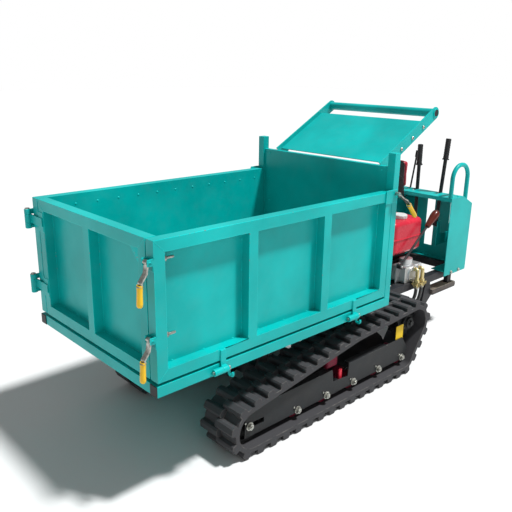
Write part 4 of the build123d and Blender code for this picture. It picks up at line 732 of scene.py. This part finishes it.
# ---------------------------------------------------------------- gates
def side_welds(side, body):
    """Tack welds and mitre seams of one side gate."""
    outer = side * (HALF_WIDTH - TUBE + SHEET_SINK)
    inner = side * (HALF_WIDTH - TUBE)
    rows = []
    for number, (x0, x1) in enumerate(zip(BAY_EDGES[::2], BAY_EDGES[1::2])):
        for level, z in (("low", SHEET_BOTTOM + 1), ("high", SHEET_TOP - 1)):
            rows.append(tack_row(f"bay_{number}_{level}_{side}", (x0 + 40, outer, z), (x1 - 40, outer, z),
                                 (0, 1, 0)))
    for number, x in enumerate(BAY_EDGES):
        rows.append(tack_row(f"upright_{number}_{side}", (x, outer, SHEET_BOTTOM + 30),
                             (x, outer, SHEET_TOP - 30), (0, 1, 0)))
    rows.append(tack_row(f"inner_row_{side}", (GATE_REAR + 60, inner, SHEET_TOP),
                         (GATE_FRONT - 60, inner, SHEET_TOP), (0, 1, 0)))
    radius = sizes().seam_radius / MM
    face = side * (HALF_WIDTH - radius * 0.45)
    for x, inward in ((GATE_REAR, 1), (GATE_FRONT, -1)):
        for z, upward in ((GATE_BOTTOM, 1), (GATE_TOP, -1)):
            rows.append(bead(f"mitre_{x:.0f}_{z:.0f}_{side}", (x + inward * 3, face, z + upward * 3),
                             (x + inward * (TUBE - 1), face, z + upward * (TUBE - 1)), radius))
    name = "left_gate_welds" if side > 0 else "right_gate_welds"
    complete(joined(name, rows), "teal_enamel_highlit_worn", body)


class BARROW_OT_side_gates(BarrowOperator, bpy.types.Operator):
    """Finish the two drop sides with their mitred corners and tack welds"""
    bl_idname = "barrow.side_gates"
    bl_label = "Drop sides"

    def execute(self, context):
        dressed("left_gate", "left_drop_side", "teal_enamel", sizes().tube_round, "teal_enamel_highlit_worn")
        dressed("right_gate", "right_drop_side", "teal_enamel", sizes().tube_round, "teal_enamel_highlit_worn")
        dressed("front_hinge_pins", "front_pins", "zinc_plated_steel", 0.5 * MM)
        side_welds(1, "left_side")
        side_welds(-1, "right_side")
        return {"FINISHED"}


class BARROW_OT_front_gate(BarrowOperator, bpy.types.Operator):
    """Finish the swinging front gate with its gusset, mitred corners and tack welds"""
    bl_idname = "barrow.front_gate"
    bl_label = "Front gate"

    def execute(self, context):
        dressed("front_gate", "front_swing_gate", "teal_enamel", sizes().tube_round, "teal_enamel_highlit_worn")
        face, corner, leg = GATE_FRONT, FRONT_HALF - TUBE, 46
        gusset = cuboid("gusset", (face - 5, corner - leg, SHEET_TOP - leg),
                        (face - 1, corner + 1, SHEET_TOP + 1))
        edit(gusset)
        bpy.ops.mesh.bisect(plane_co=at(face, corner - leg, SHEET_TOP), plane_no=(0, -1, -1), use_fill=True,
                            clear_outer=True)
        leave()
        rounded(gusset, 0.8 * MM)
        rows = [gusset]
        sheet = face - TUBE + SHEET_SINK
        for low, high in ((-corner, -TUBE / 2), (TUBE / 2, corner)):
            for z in (SHEET_BOTTOM + 1, SHEET_TOP - 1):
                rows.append(tack_row(f"front_tacks_{low:.0f}_{z:.0f}", (sheet, low + 40, z),
                                     (sheet, high - 50, z), (1, 0, 0)))
        radius = sizes().seam_radius / MM
        skin = face - radius * 0.45
        for y, inward in ((-FRONT_HALF, 1), (FRONT_HALF, -1)):
            for z, upward in ((GATE_BOTTOM, 1), (GATE_TOP, -1)):
                rows.append(bead(f"front_mitre_{y:.0f}_{z:.0f}", (skin, y + inward * 3, z + upward * 3),
                                 (skin, y + inward * (TUBE - 1), z + upward * (TUBE - 1)), radius))
        complete(joined("front_gate_welds", rows), "teal_enamel_highlit_worn", "front_door")
        return {"FINISHED"}


class BARROW_OT_draw_studs(BarrowOperator, bpy.types.Operator):
    """Make the threaded draw studs with washers and nuts"""
    bl_idname = "barrow.draw_studs"
    bl_label = "Draw studs"

    def execute(self, context):
        pitch = sizes().thread_pitch / MM
        reach = sizes().stud_reach / MM
        face = GATE_FRONT - TUBE
        crest, root = 4.95, 4.25
        thread = [(0, 0), (5.0, 0)]
        for turn in range(1, int((reach - 1) / pitch)):
            thread += [(crest, turn * pitch), (root, (turn + 0.5) * pitch)]
        thread += [(4.0, reach), (0, reach)]
        washer = [(5, 0.2), (11.6, 0.2), (12, 0.7), (12, 2.0), (11.6, 2.5), (5, 2.5), (5, 0.2)]
        parts = []
        for height in LATCH_HEIGHTS:
            start = at(face, LATCH_OFFSET, height)
            parts.append(turned(f"stud_{height:.0f}", thread, start, (-1, 0, 0), 18))
            parts.append(turned(f"washer_{height:.0f}", washer, start, (-1, 0, 0)))
            parts.append(hex_head(f"near_nut_{height:.0f}", 17, 9.5, at(face - 2.5, LATCH_OFFSET, height),
                                  (-1, 0, 0)))
        studs = joined("threaded_draw_studs", parts)
        complete(studs, "zinc_plated_steel", "left_side", 30)
        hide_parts("latch_studs")
        return {"FINISHED"}


def latch(node, name, grip_from, grip_to):
    """Plated strap of a latch, cut free of its grip, and the dipped vinyl grip on it."""
    strap = dressed(node, f"{name}_strap", "zinc_plated_steel", 0.6 * MM)
    a, b = at(*grip_from), at(*grip_to)
    edit(strap)
    bpy.ops.mesh.bisect(plane_co=a + (b - a) * 0.07, plane_no=b - a, use_fill=True, clear_outer=True)
    leave()
    profile = [(-0.02, 7.5), (-0.03, 9.6), (0.03, 10.9), (0.1, 10.4), (0.3, 9.9), (0.55, 10.3), (0.8, 10.9),
               (0.93, 10.2), (0.985, 7.2), (1.0, 0.0)]
    grip = sleeve(f"{name}_grip", grip_from, grip_to, profile, flatten=(0.86, 1.0, 1.0))
    complete(grip, "dipped_vinyl", NODE_BODY[node], 60)


class BARROW_OT_latches(BarrowOperator, bpy.types.Operator):
    """Finish the four lever latches with dipped grips"""
    bl_idname = "barrow.latches"
    bl_label = "Latches"

    def execute(self, context):
        pivot = GATE_FRONT + 14
        for node, height in zip(("front_upper_latch", "front_lower_latch"), LATCH_HEIGHTS):
            latch(node, node.replace("_latch", "_lever"), (pivot + 26, LATCH_OFFSET, height - 66),
                  (pivot + 29, LATCH_OFFSET, height - 134))
        x, z = 27.5, GATE_TOP - 8
        for node, side in (("rear_left_latch", 1), ("rear_right_latch", -1)):
            y = side * (HALF_WIDTH + 19)
            latch(node, node.replace("_latch", "_lever"), (x - 84, y, z - 54), (x - 142, y, z - 116))
        return {"FINISHED"}


# ---------------------------------------------------------------- tracks
class BARROW_OT_belts(BarrowOperator, bpy.types.Operator):
    """Finish the rubber belts, with lug edges scuffed by the ground"""
    bl_idname = "barrow.belts"
    bl_label = "Rubber tracks"

    def execute(self, context):
        for side in ("left", "right"):
            dressed(f"track_belt_{side}", f"rubber_track_{side}", "track_rubber", 2.2 * MM,
                    "track_rubber_worn")
        return {"FINISHED"}


MARKER_CORNERS = (-190, 361.4, 156), (-134, 363.4, 244)
# the left side's corners, mirrored for the right
ADJUSTER_BLOCK = (246, 305, 168), (322, 338, 222)
ADJUSTER_TAB = (238, 344, 106), (258, 356, 158)


class BARROW_OT_track_frames(BarrowOperator, bpy.types.Operator):
    """Finish the track side plates, axle bolts, adjuster tab and marker plate"""
    bl_idname = "barrow.track_frames"
    bl_label = "Track frames"

    def execute(self, context):
        dressed("track_frames", "track_side_plates", "charcoal_enamel", sizes().plate_round,
                "charcoal_enamel_highlit_worn")
        dressed("track_axle_bolts", "axle_bolts", "zinc_plated_steel", 0.7 * MM)
        for side, name in ((1, "left"), (-1, "right")):
            block = cuboid(f"adjuster_block_{name}", *((x, side * y, z) for x, y, z in ADJUSTER_BLOCK))
            rounded(block, 14 * MM, 4)
            complete(block, "roller_primer", "chassis")
            tab = cuboid(f"adjuster_tab_{name}", *((x, side * y, z) for x, y, z in ADJUSTER_TAB))
            rounded(tab, 5 * MM, 4)
            complete(tab, "tank_enamel", "chassis")
        plate = cuboid("marker_plate", *MARKER_CORNERS)
        rounded(plate, 0.4 * MM)
        complete(plate, "marker_enamel", "chassis")
        return {"FINISHED"}


class BARROW_OT_wheels(BarrowOperator, bpy.types.Operator):
    """Finish the sprockets, idlers, carriers and track rollers"""
    bl_idname = "barrow.wheels"
    bl_label = "Track wheels"

    def execute(self, context):
        for side in ("left", "right"):
            for node, name, radius in (("sprocket", "toothed_wheel", 0.9), ("idler", "front_wheel", 1.2),
                                       ("carrier", "top_wheel", 1.0)):
                dressed(f"{node}_{side}", f"{name}_{side}", "charcoal_enamel", radius * MM,
                        "charcoal_enamel_highlit_worn")
            for number in range(1, 6):
                dressed(f"roller_{number}_{side}", f"track_wheel_{number}_{side}", "roller_primer", 1.2 * MM)
        return {"FINISHED"}


# ---------------------------------------------------------------- chassis and steps
STEP_REAR, STEP_FRONT = -943.0, -708.0
STEP_TOP = 238.0
STEP_OFFSET, STEP_WIDTH = 165.0, 62.0


def step_mat(side):
    """Open mesh mat in a shallow rubber tray, over one step bar."""
    name = "left" if side > 0 else "right"
    y0, y1 = side * STEP_OFFSET - STEP_WIDTH / 2, side * STEP_OFFSET + STEP_WIDTH / 2
    tray = cuboid(f"step_tray_{name}", (STEP_REAR - 1, y0 - 1, STEP_TOP - 25),
                  (STEP_FRONT + 1, y1 + 1, STEP_TOP + 1))
    rounded(tray, 7 * MM, 3, 60)
    complete(tray, "mat_edge", "chassis")
    pitch = sizes().mat_pitch / MM
    length, width = STEP_FRONT - STEP_REAR - 6, STEP_WIDTH - 4
    centre = at((STEP_REAR + STEP_FRONT) / 2, side * STEP_OFFSET, STEP_TOP + 1.4)
    bpy.ops.object.select_all(action="DESELECT")
    bpy.ops.mesh.primitive_grid_add(x_subdivisions=int(length / pitch), y_subdivisions=int(width / pitch),
                                    size=1.0, location=centre)
    mat = named(f"step_mat_{name}")
    mat.scale = (length * MM, width * MM, 1.0)
    settle(mat)
    edit(mat)
    bpy.ops.mesh.poke()
    leave()
    apply_modifier(mat, "WIREFRAME", thickness=1.5 * MM, use_even_offset=False)
    complete(mat, "mat_wire", "chassis", 50)


class BARROW_OT_chassis(BarrowOperator, bpy.types.Operator):
    """Finish the chassis rails, buffers, tipping cylinder and step bars"""
    bl_idname = "barrow.chassis"
    bl_label = "Chassis"

    def execute(self, context):
        tube_round, plate_round = sizes().tube_round, sizes().plate_round
        dressed("chassis_frame", "chassis_rails", "black_enamel", tube_round * 0.6, "black_enamel_highlit_worn")
        dressed("foot_rests", "step_brackets", "black_enamel", plate_round, "black_enamel_highlit_worn")
        dressed("cylinder_barrel", "tipping_barrel", "black_enamel", plate_round)
        dressed("cylinder_rod", "tipping_rod", "chromed_steel", 0.5 * MM)
        step_mat(1)
        step_mat(-1)
        return {"FINISHED"}


# ---------------------------------------------------------------- engine and tank
SLOT_HALF = 3
SLOT_RING = (26, 43)
SLOT_DEPTHS = (5.2, 7.6)


class BARROW_OT_engine(BarrowOperator, bpy.types.Operator):
    """Finish the engine, starter slots, filter, muffler and gearbox"""
    bl_idname = "barrow.engine"
    bl_label = "Engine"

    def execute(self, context):
        dressed("engine_block", "engine_castings", "heatproof_paint", 1.0 * MM)
        dressed("recoil_starter", "starter_cover", "black_nylon", 0.8 * MM)
        dressed("air_filter", "filter_canister", "black_nylon", 0.6 * MM)
        dressed("muffler", "exhaust_box", "heatproof_paint", 0.6 * MM)
        dressed("gearbox", "drive_housing", "cast_aluminium", 1.5 * MM)
        slots = []
        low, high = layout_box("recoil_starter")
        centre = (low + high) / 2
        count = sizes().recoil_slots
        for number in range(count):
            angle = 2 * pi * number / count
            slot = cuboid(f"slot_{number}", (-SLOT_HALF, low.y + SLOT_DEPTHS[0], SLOT_RING[0]),
                          (SLOT_HALF, low.y + SLOT_DEPTHS[1], SLOT_RING[1]))
            slot.data.transform(Matrix.Translation(-at(0, 0, 0)))
            slot.matrix_world = Matrix.Translation(at(centre.x, 0, centre.z)) @ Matrix.Rotation(angle, 4, "Y")
            settle(slot)
            rounded(slot, 1.0 * MM, 2)
            slots.append(slot)
        complete(joined("starter_louvres", slots), "heatproof_paint", "chassis")
        return {"FINISHED"}


class BARROW_OT_tank(BarrowOperator, bpy.types.Operator):
    """Finish the pressed fuel tank and its cap"""
    bl_idname = "barrow.tank"
    bl_label = "Fuel tank"

    def execute(self, context):
        dressed("fuel_tank", "tank_pressing", "tank_enamel", 1.2 * MM, segments=3, smooth=42)
        dressed("fuel_cap", "tank_screw_cap", "cap_polyethylene", 0.8 * MM)
        return {"FINISHED"}


HOSE_STATIONS = (-515.0, -560.0)
HOSE_OFFSET, ELBOW_FOOT = 212.0, 330.0
HOSE_RADIUS, CABLE_RADIUS = 9.0, 3.0
FLANGE_CIRCLE, FLANGE_HEIGHT, FLANGE_FACE = 31.0, 372.0, 188.0
PRESSURE_ROUTE = ((-515, 212, 300), (-515, 212, 248), (-481, 192, 208), (-419, 136, 204), (-374, 70, 214),
                  (-332, 70, 214))
RETURN_ROUTE = ((-560, 212, 300), (-560, 212, 240), (-520, 194, 184), (-432, 122, 176), (-378, 40, 214),
                (-332, 40, 214))
CABLE_ROUTE = ((-620, -92, 410), (-620, -132, 410), (-624, -160, 452), (-632, -166, 560), (-642, -158, 660),
               (-668, -122, 770), (-702, -86, 838), (-744, -76, 812), (-762, -77, 756), (-770, -80, 712),
               (-796, -92, 690), (-836, -108, 688), (-878, -120, 697))


class BARROW_OT_pump(BarrowOperator, bpy.types.Operator):
    """Finish the hydraulic pump, brass elbows and crimped ferrules"""
    bl_idname = "barrow.pump"
    bl_label = "Hydraulic pump"

    def execute(self, context):
        dressed("hydraulic_pump", "pump_castings", "cast_aluminium", 1.2 * MM)
        dressed("hose_elbows", "brass_elbows", "yellow_brass", 0.6 * MM)
        crimp = [(10.2, 0), (12.2, 0.4)]
        for groove in (4.2, 10.2, 16.2, 22.2):
            crimp += [(12.5, groove - 1.2), (11.9, groove), (12.5, groove + 1.2)]
        crimp += [(12.4, 29), (11.4, 30), (9.0, 30)]
        ferrules = [turned(f"crimp_{x:.0f}", crimp, at(x, HOSE_OFFSET, ELBOW_FOOT), (0, 0, -1))
                    for x in HOSE_STATIONS]
        screws = []
        for angle in (45, 135, 225, 315):
            x = HOSE_STATIONS[0] + FLANGE_CIRCLE * cos(radians(angle))
            z = FLANGE_HEIGHT + FLANGE_CIRCLE * sin(radians(angle))
            screws.append(hex_head(f"flange_screw_{angle}", 8, 4, at(x, FLANGE_FACE, z), (0, 1, 0)))
        complete(joined("crimped_ferrules", ferrules), "zinc_plated_steel", "chassis")
        complete(joined("flange_screws", screws), "zinc_plated_steel", "chassis")
        return {"FINISHED"}


def route(name, points, radius, finish_name):
    """A hose or cable as one smooth spline whose control points are its route."""
    curve = bpy.data.curves.new(name, "CURVE")
    curve.dimensions = "3D"
    curve.bevel_depth = radius * MM
    curve.bevel_resolution = 4
    curve.use_fill_caps = True
    curve.resolution_u = 10
    spline = curve.splines.new("NURBS")
    spline.points.add(len(points) - 1)
    for point, place in zip(spline.points, points):
        point.co = (*at(*place), 1.0)
    spline.order_u = 3
    spline.use_endpoint_u = True
    piece = bpy.data.objects.new(name, curve)
    bpy.context.scene.collection.objects.link(piece)
    curve.materials.append(finish(finish_name))
    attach(piece, "chassis")
    return piece


class BARROW_OT_hoses(BarrowOperator, bpy.types.Operator):
    """Route the two hydraulic hoses and the control cable"""
    bl_idname = "barrow.hoses"
    bl_label = "Hoses and cable"

    def execute(self, context):
        route("pressure_hose", PRESSURE_ROUTE, HOSE_RADIUS, "hose_rubber")
        route("return_hose", RETURN_ROUTE, HOSE_RADIUS, "hose_rubber")
        cable = route("control_cable", CABLE_ROUTE, CABLE_RADIUS, "cable_jacket")
        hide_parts("hoses_and_cables")
        return {"FINISHED"}


# ---------------------------------------------------------------- levers and console
CONSOLE_REAR, CONSOLE_TOP = -1000.0, 734.0
LEVER_OFFSET = 71.0
# per lever: its side, the tip's X and Z, and its X where it comes out of the console's top
STEERING_LEVERS = {"left": (1, (-930.0, 1023.0), -901.0), "right": (-1, (-885.0, 982.0), -891.0)}
THROTTLE_GRIP = (-931, -120, 902), (-938.2, -120, 938)
GEAR_TIP, GEAR_FOOT = Vector((-737.0, 160.0, 666.0)), Vector((-430.0, 160.0, 425.0))


class BARROW_OT_levers(BarrowOperator, bpy.types.Operator):
    """Finish the steering, throttle and gear levers with their grips"""
    bl_idname = "barrow.levers"
    bl_label = "Levers"

    def execute(self, context):
        for name, (side, (top_x, top_z), slot_x) in STEERING_LEVERS.items():
            dressed(f"steering_lever_{name}", f"steering_bar_{name}", "black_enamel", 0.8 * MM,
                    "black_enamel_highlit_worn")
            lean = Vector((top_x - slot_x, 0, top_z - CONSOLE_TOP)).normalized()
            tip = Vector((top_x, side * LEVER_OFFSET, top_z))
            profile = [(0.0, 10.0), (0.0, 14.2), (0.03, 14.8)]
            for number in range(7):
                share = 0.1 + number * 0.12
                profile += [(share, 14.8), (share + 0.02, 13.9), (share + 0.05, 13.9), (share + 0.07, 14.8)]
            profile += [(0.95, 14.6), (0.99, 11.5), (1.0, 6.0), (1.0, 0.0)]
            grip = sleeve(f"steering_grip_{name}", tip - lean * 108, tip, profile)
            complete(grip, "grip_rubber", f"{name}_steering", 45)
        dressed("throttle_lever", "throttle_bar", "black_enamel", 0.5 * MM)
        knob = sleeve("throttle_knob", *THROTTLE_GRIP, [
            (0.0, 5.0), (0.05, 7.5), (0.3, 9.3), (0.7, 9.4), (0.92, 7.0), (1.0, 0.0)], steps=24)
        complete(knob, "black_nylon", "throttle", 60)
        dressed("gear_lever", "gear_rod", "black_enamel", 0.4 * MM)
        lean = (GEAR_TIP - GEAR_FOOT).normalized()
        grip = sleeve("gear_grip", GEAR_TIP - lean * 113, GEAR_TIP + lean * 0.5, [
            (0.0, 6.0), (0.0, 12.6), (0.02, 13.6), (0.18, 15.8), (0.4, 18.6), (0.62, 21.6), (0.8, 21.6),
            (0.92, 18.0), (0.98, 10.5), (1.0, 0.0)])
        complete(grip, "phenolic_grip", "gear_stick", 60)
        return {"FINISHED"}


PAINTED_BOLT_OFFSET, FOOT_BOLT_OFFSET, FOOT_BOLT_HEIGHT = 198.0, 212.0, 316.0


class BARROW_OT_console(BarrowOperator, bpy.types.Operator):
    """Finish the control console, its cheeks, bolts and grab handle"""
    bl_idname = "barrow.console"
    bl_label = "Console"

    def execute(self, context):
        plate_round = sizes().plate_round
        dressed("console_frame", "console_shell", "teal_enamel", plate_round * 0.7, "teal_enamel_highlit_worn")
        dressed("console_side_panels", "console_cheeks", "teal_enamel", plate_round, "teal_enamel_highlit_worn")
        dressed("grab_handle", "grab_tube", "teal_enamel", 0)
        dome = [(0, 5.4), (3.0, 5.0), (5.2, 3.8), (6.4, 2.0), (6.8, 0.0), (0, 0)]
        washer = [(5, 0), (10.5, 0), (10.5, 1.3), (10.0, 1.6), (5, 1.6), (5, 0)]
        heads, zinc = [], []
        for side in (1, -1):
            y, face = side * PAINTED_BOLT_OFFSET, side * FOOT_BOLT_OFFSET
            for z in (373.0, 494.0, 632.0):
                heads.append(turned(f"rear_bolt_{z:.0f}_{side}", dome, at(CONSOLE_REAR, y, z), (-1, 0, 0),
                                    18))
            for x in (-811.0, -868.0):
                heads.append(turned(f"top_bolt_{x:.0f}_{side}", dome, at(x, y, CONSOLE_TOP), (0, 0, 1), 18))
            for x in (-850.0, -927.0):
                zinc.append(turned(f"foot_washer_{x:.0f}_{side}", washer, at(x, face, FOOT_BOLT_HEIGHT),
                                   (0, side, 0)))
                zinc.append(hex_head(f"foot_bolt_{x:.0f}_{side}", 16, 4.4,
                                     at(x, face + side * 1.6, FOOT_BOLT_HEIGHT), (0, side, 0)))
        bolts = complete(joined("console_button_bolts", heads), "teal_enamel_highlit_worn", "chassis")
        complete(joined("console_foot_bolts", zinc), "zinc_plated_steel", "chassis", 30)
        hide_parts("console_bolts")
        return {"FINISHED"}


SWELL_FRAMES = 20
PAD_CORNER, PAD_VOXEL = 15, 4
SEAM_INSET, SEAM_BACK = 3.5, 12
PIPING_CORNER, PIPING_RADIUS = 24, 2.2


class BARROW_OT_cushion(BarrowOperator, bpy.types.Operator):
    """Stuff the red cushion, sew its seam and finish its backing plate"""
    bl_idname = "barrow.cushion"
    bl_label = "Cushion"

    def execute(self, context):
        dressed("cushion_backing", "cushion_plate", "black_enamel", 0.8 * MM, "black_enamel_highlit_worn")
        low, high = layout_box("cushion")
        inset = 5.0  # room for the swelling
        pad = cuboid("red_cushion", (low.x + inset, low.y + inset, low.z + inset),
                     (high.x, high.y - inset, high.z - inset))
        rounded(pad, PAD_CORNER * MM, 5, 60)
        apply_modifier(pad, "REMESH", mode="VOXEL", voxel_size=PAD_VOXEL * MM)
        start = [vertex.co.copy() for vertex in pad.data.vertices]
        back = at(high.x, 0, 0).x
        held = pad.vertex_groups.new(name="held")
        held.add([v.index for v in pad.data.vertices if v.co.x > back - 2 * MM], 1.0, "REPLACE")
        only(pad)
        bpy.ops.object.modifier_add(type="CLOTH")
        cloth = pad.modifiers[-1]
        cloth.settings.use_pressure = True
        cloth.settings.uniform_pressure_force = 4.0
        cloth.settings.effector_weights.gravity = 0.0
        cloth.settings.vertex_group_mass = "held"
        cloth.point_cache.frame_end = SWELL_FRAMES
        for step in range(1, SWELL_FRAMES + 1):
            bpy.context.scene.frame_set(step)
        bpy.ops.object.modifier_apply(modifier=cloth.name)
        pad.vertex_groups.clear()
        crown = sizes().cushion_crown
        for vertex, rest in zip(pad.data.vertices, start):
            move = vertex.co - rest
            if move.length > crown:
                vertex.co = rest + move.normalized() * crown
            vertex.co.x = min(vertex.co.x, back)
        apply_modifier(pad, "SMOOTH", factor=0.5, iterations=3)
        apply_modifier(pad, "SUBSURF", levels=1, render_levels=1)
        seam_x = high.x - SEAM_BACK
        y0, y1, z0, z1 = low.y + SEAM_INSET, high.y - SEAM_INSET, low.z + SEAM_INSET, high.z - SEAM_INSET
        bpy.ops.object.select_all(action="DESELECT")
        bpy.ops.mesh.primitive_plane_add(size=1.0, location=at(seam_x, (y0 + y1) / 2, (z0 + z1) / 2),
                                         rotation=(0, radians(90), 0))
        piping = named("cushion_piping")
        piping.scale = ((z1 - z0) * MM, (y1 - y0) * MM, 1.0)
        settle(piping)
        edit(piping)
        bpy.ops.mesh.bevel(offset=PIPING_CORNER * MM, segments=8, affect="VERTICES")
        bpy.ops.mesh.select_all(action="SELECT")
        bpy.ops.mesh.delete(type="ONLY_FACE")
        leave()
        bpy.ops.object.convert(target="CURVE")
        piping.data.bevel_depth = PIPING_RADIUS * MM
        piping.data.bevel_resolution = 3
        bpy.ops.object.convert(target="MESH")
        complete(piping, "cushion_vinyl", "chassis", 60)
        complete(pad, "cushion_vinyl", "chassis", 80)
        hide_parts("cushion")
        return {"FINISHED"}


# ---------------------------------------------------------------- studio
CAMERA_PLACE = (2144.0, 1836.0, 1380.0)
CAMERA_BEARING = 46.78
CAMERA_ELEVATION = 16.99
CAMERA_ROLL = 0.86
KEY_DIRECTION = (-0.25, 0.32, 0.91)
KEY_ANGLE = 6
PANEL_PLACE, PANEL_SIZE, PANEL_WATTS = (2.4, 4.2, 3.6), 2.4, 15
FLOOR_SIZE = 60.0


def soft_light(name, place, target, size, watts, tint):
    """A large area light that faces a point, all in metres."""
    bpy.ops.object.light_add(type="AREA", location=place)
    light = bpy.context.object
    light.name = name
    light.data.shape = "DISK"
    light.data.size = size
    light.data.energy = watts
    light.data.color = tint
    light.rotation_mode = "QUATERNION"
    light.rotation_quaternion = (Vector(target) - Vector(place)).to_track_quat("-Z", "Y")


class BARROW_OT_studio(BarrowOperator, bpy.types.Operator):
    """Lay the pale floor, light it softly and set up the camera"""
    bl_idname = "barrow.studio"
    bl_label = "Studio"

    def execute(self, context):
        bpy.ops.object.select_all(action="DESELECT")
        bpy.ops.mesh.primitive_plane_add(size=FLOOR_SIZE, location=(0, 0, -0.5 * MM))
        floor = named("studio_floor")
        floor.data.materials.append(finish("studio_paper"))
        bpy.ops.object.light_add(type="SUN", location=(0, 0, 5))
        key = context.object
        key.name = "key_light"
        key.data.energy = sizes().key_strength
        key.data.angle = radians(KEY_ANGLE)
        key.rotation_mode = "QUATERNION"
        key.rotation_quaternion = Vector(KEY_DIRECTION).to_track_quat("Z", "Y")
        soft_light("sky_panel", PANEL_PLACE, (0, 0, 0.3), PANEL_SIZE, PANEL_WATTS, (0.96, 0.98, 1.0))
        world = context.scene.world or bpy.data.worlds.new("studio_air")
        context.scene.world = world
        world.use_nodes = True
        tree = world.node_tree
        tree.nodes.clear()
        ray = add(tree, "ShaderNodeLightPath")
        level = add(tree, "ShaderNodeMapRange", {"Value": ray.outputs["Is Camera Ray"],
                                                 "To Min": sizes().air_strength, "To Max": 1.0})
        air = add(tree, "ShaderNodeBackground",
                  {"Color": (1.0, 1.0, 1.0, 1.0), "Strength": level.outputs["Result"]})
        output = add(tree, "ShaderNodeOutputWorld")
        tree.links.new(air.outputs["Background"], output.inputs["Surface"])
        context.scene.view_settings.view_transform = "Standard"
        bearing, elevation, roll = radians(CAMERA_BEARING), radians(CAMERA_ELEVATION), radians(CAMERA_ROLL)
        back = Vector((cos(elevation) * cos(bearing), cos(elevation) * sin(bearing), sin(elevation)))
        right = Vector((0, 0, 1)).cross(back).normalized()
        up = back.cross(right)
        right, up = right * cos(roll) + up * sin(roll), up * cos(roll) - right * sin(roll)
        bpy.ops.object.camera_add(location=at(*CAMERA_PLACE))
        camera = bpy.context.object
        camera.name = "studio_camera"
        turn = Matrix((right, up, back)).transposed()
        camera.matrix_world = Matrix.Translation(at(*CAMERA_PLACE)) @ turn.to_4x4()
        camera.data.sensor_width = 36.0
        camera.data.lens = sizes().camera_lens
        camera.data.clip_end = 200.0
        context.scene.camera = camera
        return {"FINISHED"}


# ---------------------------------------------------------------- panel and run
OPERATORS = (BARROW_OT_bed, BARROW_OT_cover, BARROW_OT_side_gates, BARROW_OT_front_gate, BARROW_OT_draw_studs,
             BARROW_OT_latches, BARROW_OT_belts, BARROW_OT_track_frames, BARROW_OT_wheels, BARROW_OT_chassis,
             BARROW_OT_engine, BARROW_OT_tank, BARROW_OT_pump, BARROW_OT_hoses, BARROW_OT_levers,
             BARROW_OT_console, BARROW_OT_cushion, BARROW_OT_studio)


class BARROW_PT_panel(bpy.types.Panel):
    """Buttons that finish the wheelbarrow group by group"""
    bl_label = "Power wheelbarrow"
    bl_idname = "BARROW_PT_panel"
    bl_space_type = "VIEW_3D"
    bl_region_type = "UI"
    bl_category = "Wheelbarrow"

    def draw(self, context):
        for operator in OPERATORS:
            self.layout.operator(operator.bl_idname)


CLASSES = (BarrowSizes, BarrowColours, *OPERATORS, BARROW_PT_panel)


def register():
    for kind in CLASSES:
        bpy.utils.register_class(kind)
    bpy.types.Scene.barrow_sizes = PointerProperty(type=BarrowSizes)
    bpy.types.Scene.barrow_colours = PointerProperty(type=BarrowColours)


def unregister():
    del bpy.types.Scene.barrow_colours
    del bpy.types.Scene.barrow_sizes
    for kind in reversed(CLASSES):
        bpy.utils.unregister_class(kind)


def main():
    register()
    bpy.ops.object.select_all(action="DESELECT")
    for operator in OPERATORS:
        getattr(bpy.ops.barrow, operator.bl_idname.split(".")[1])()


if __name__ == "__main__":
    main()
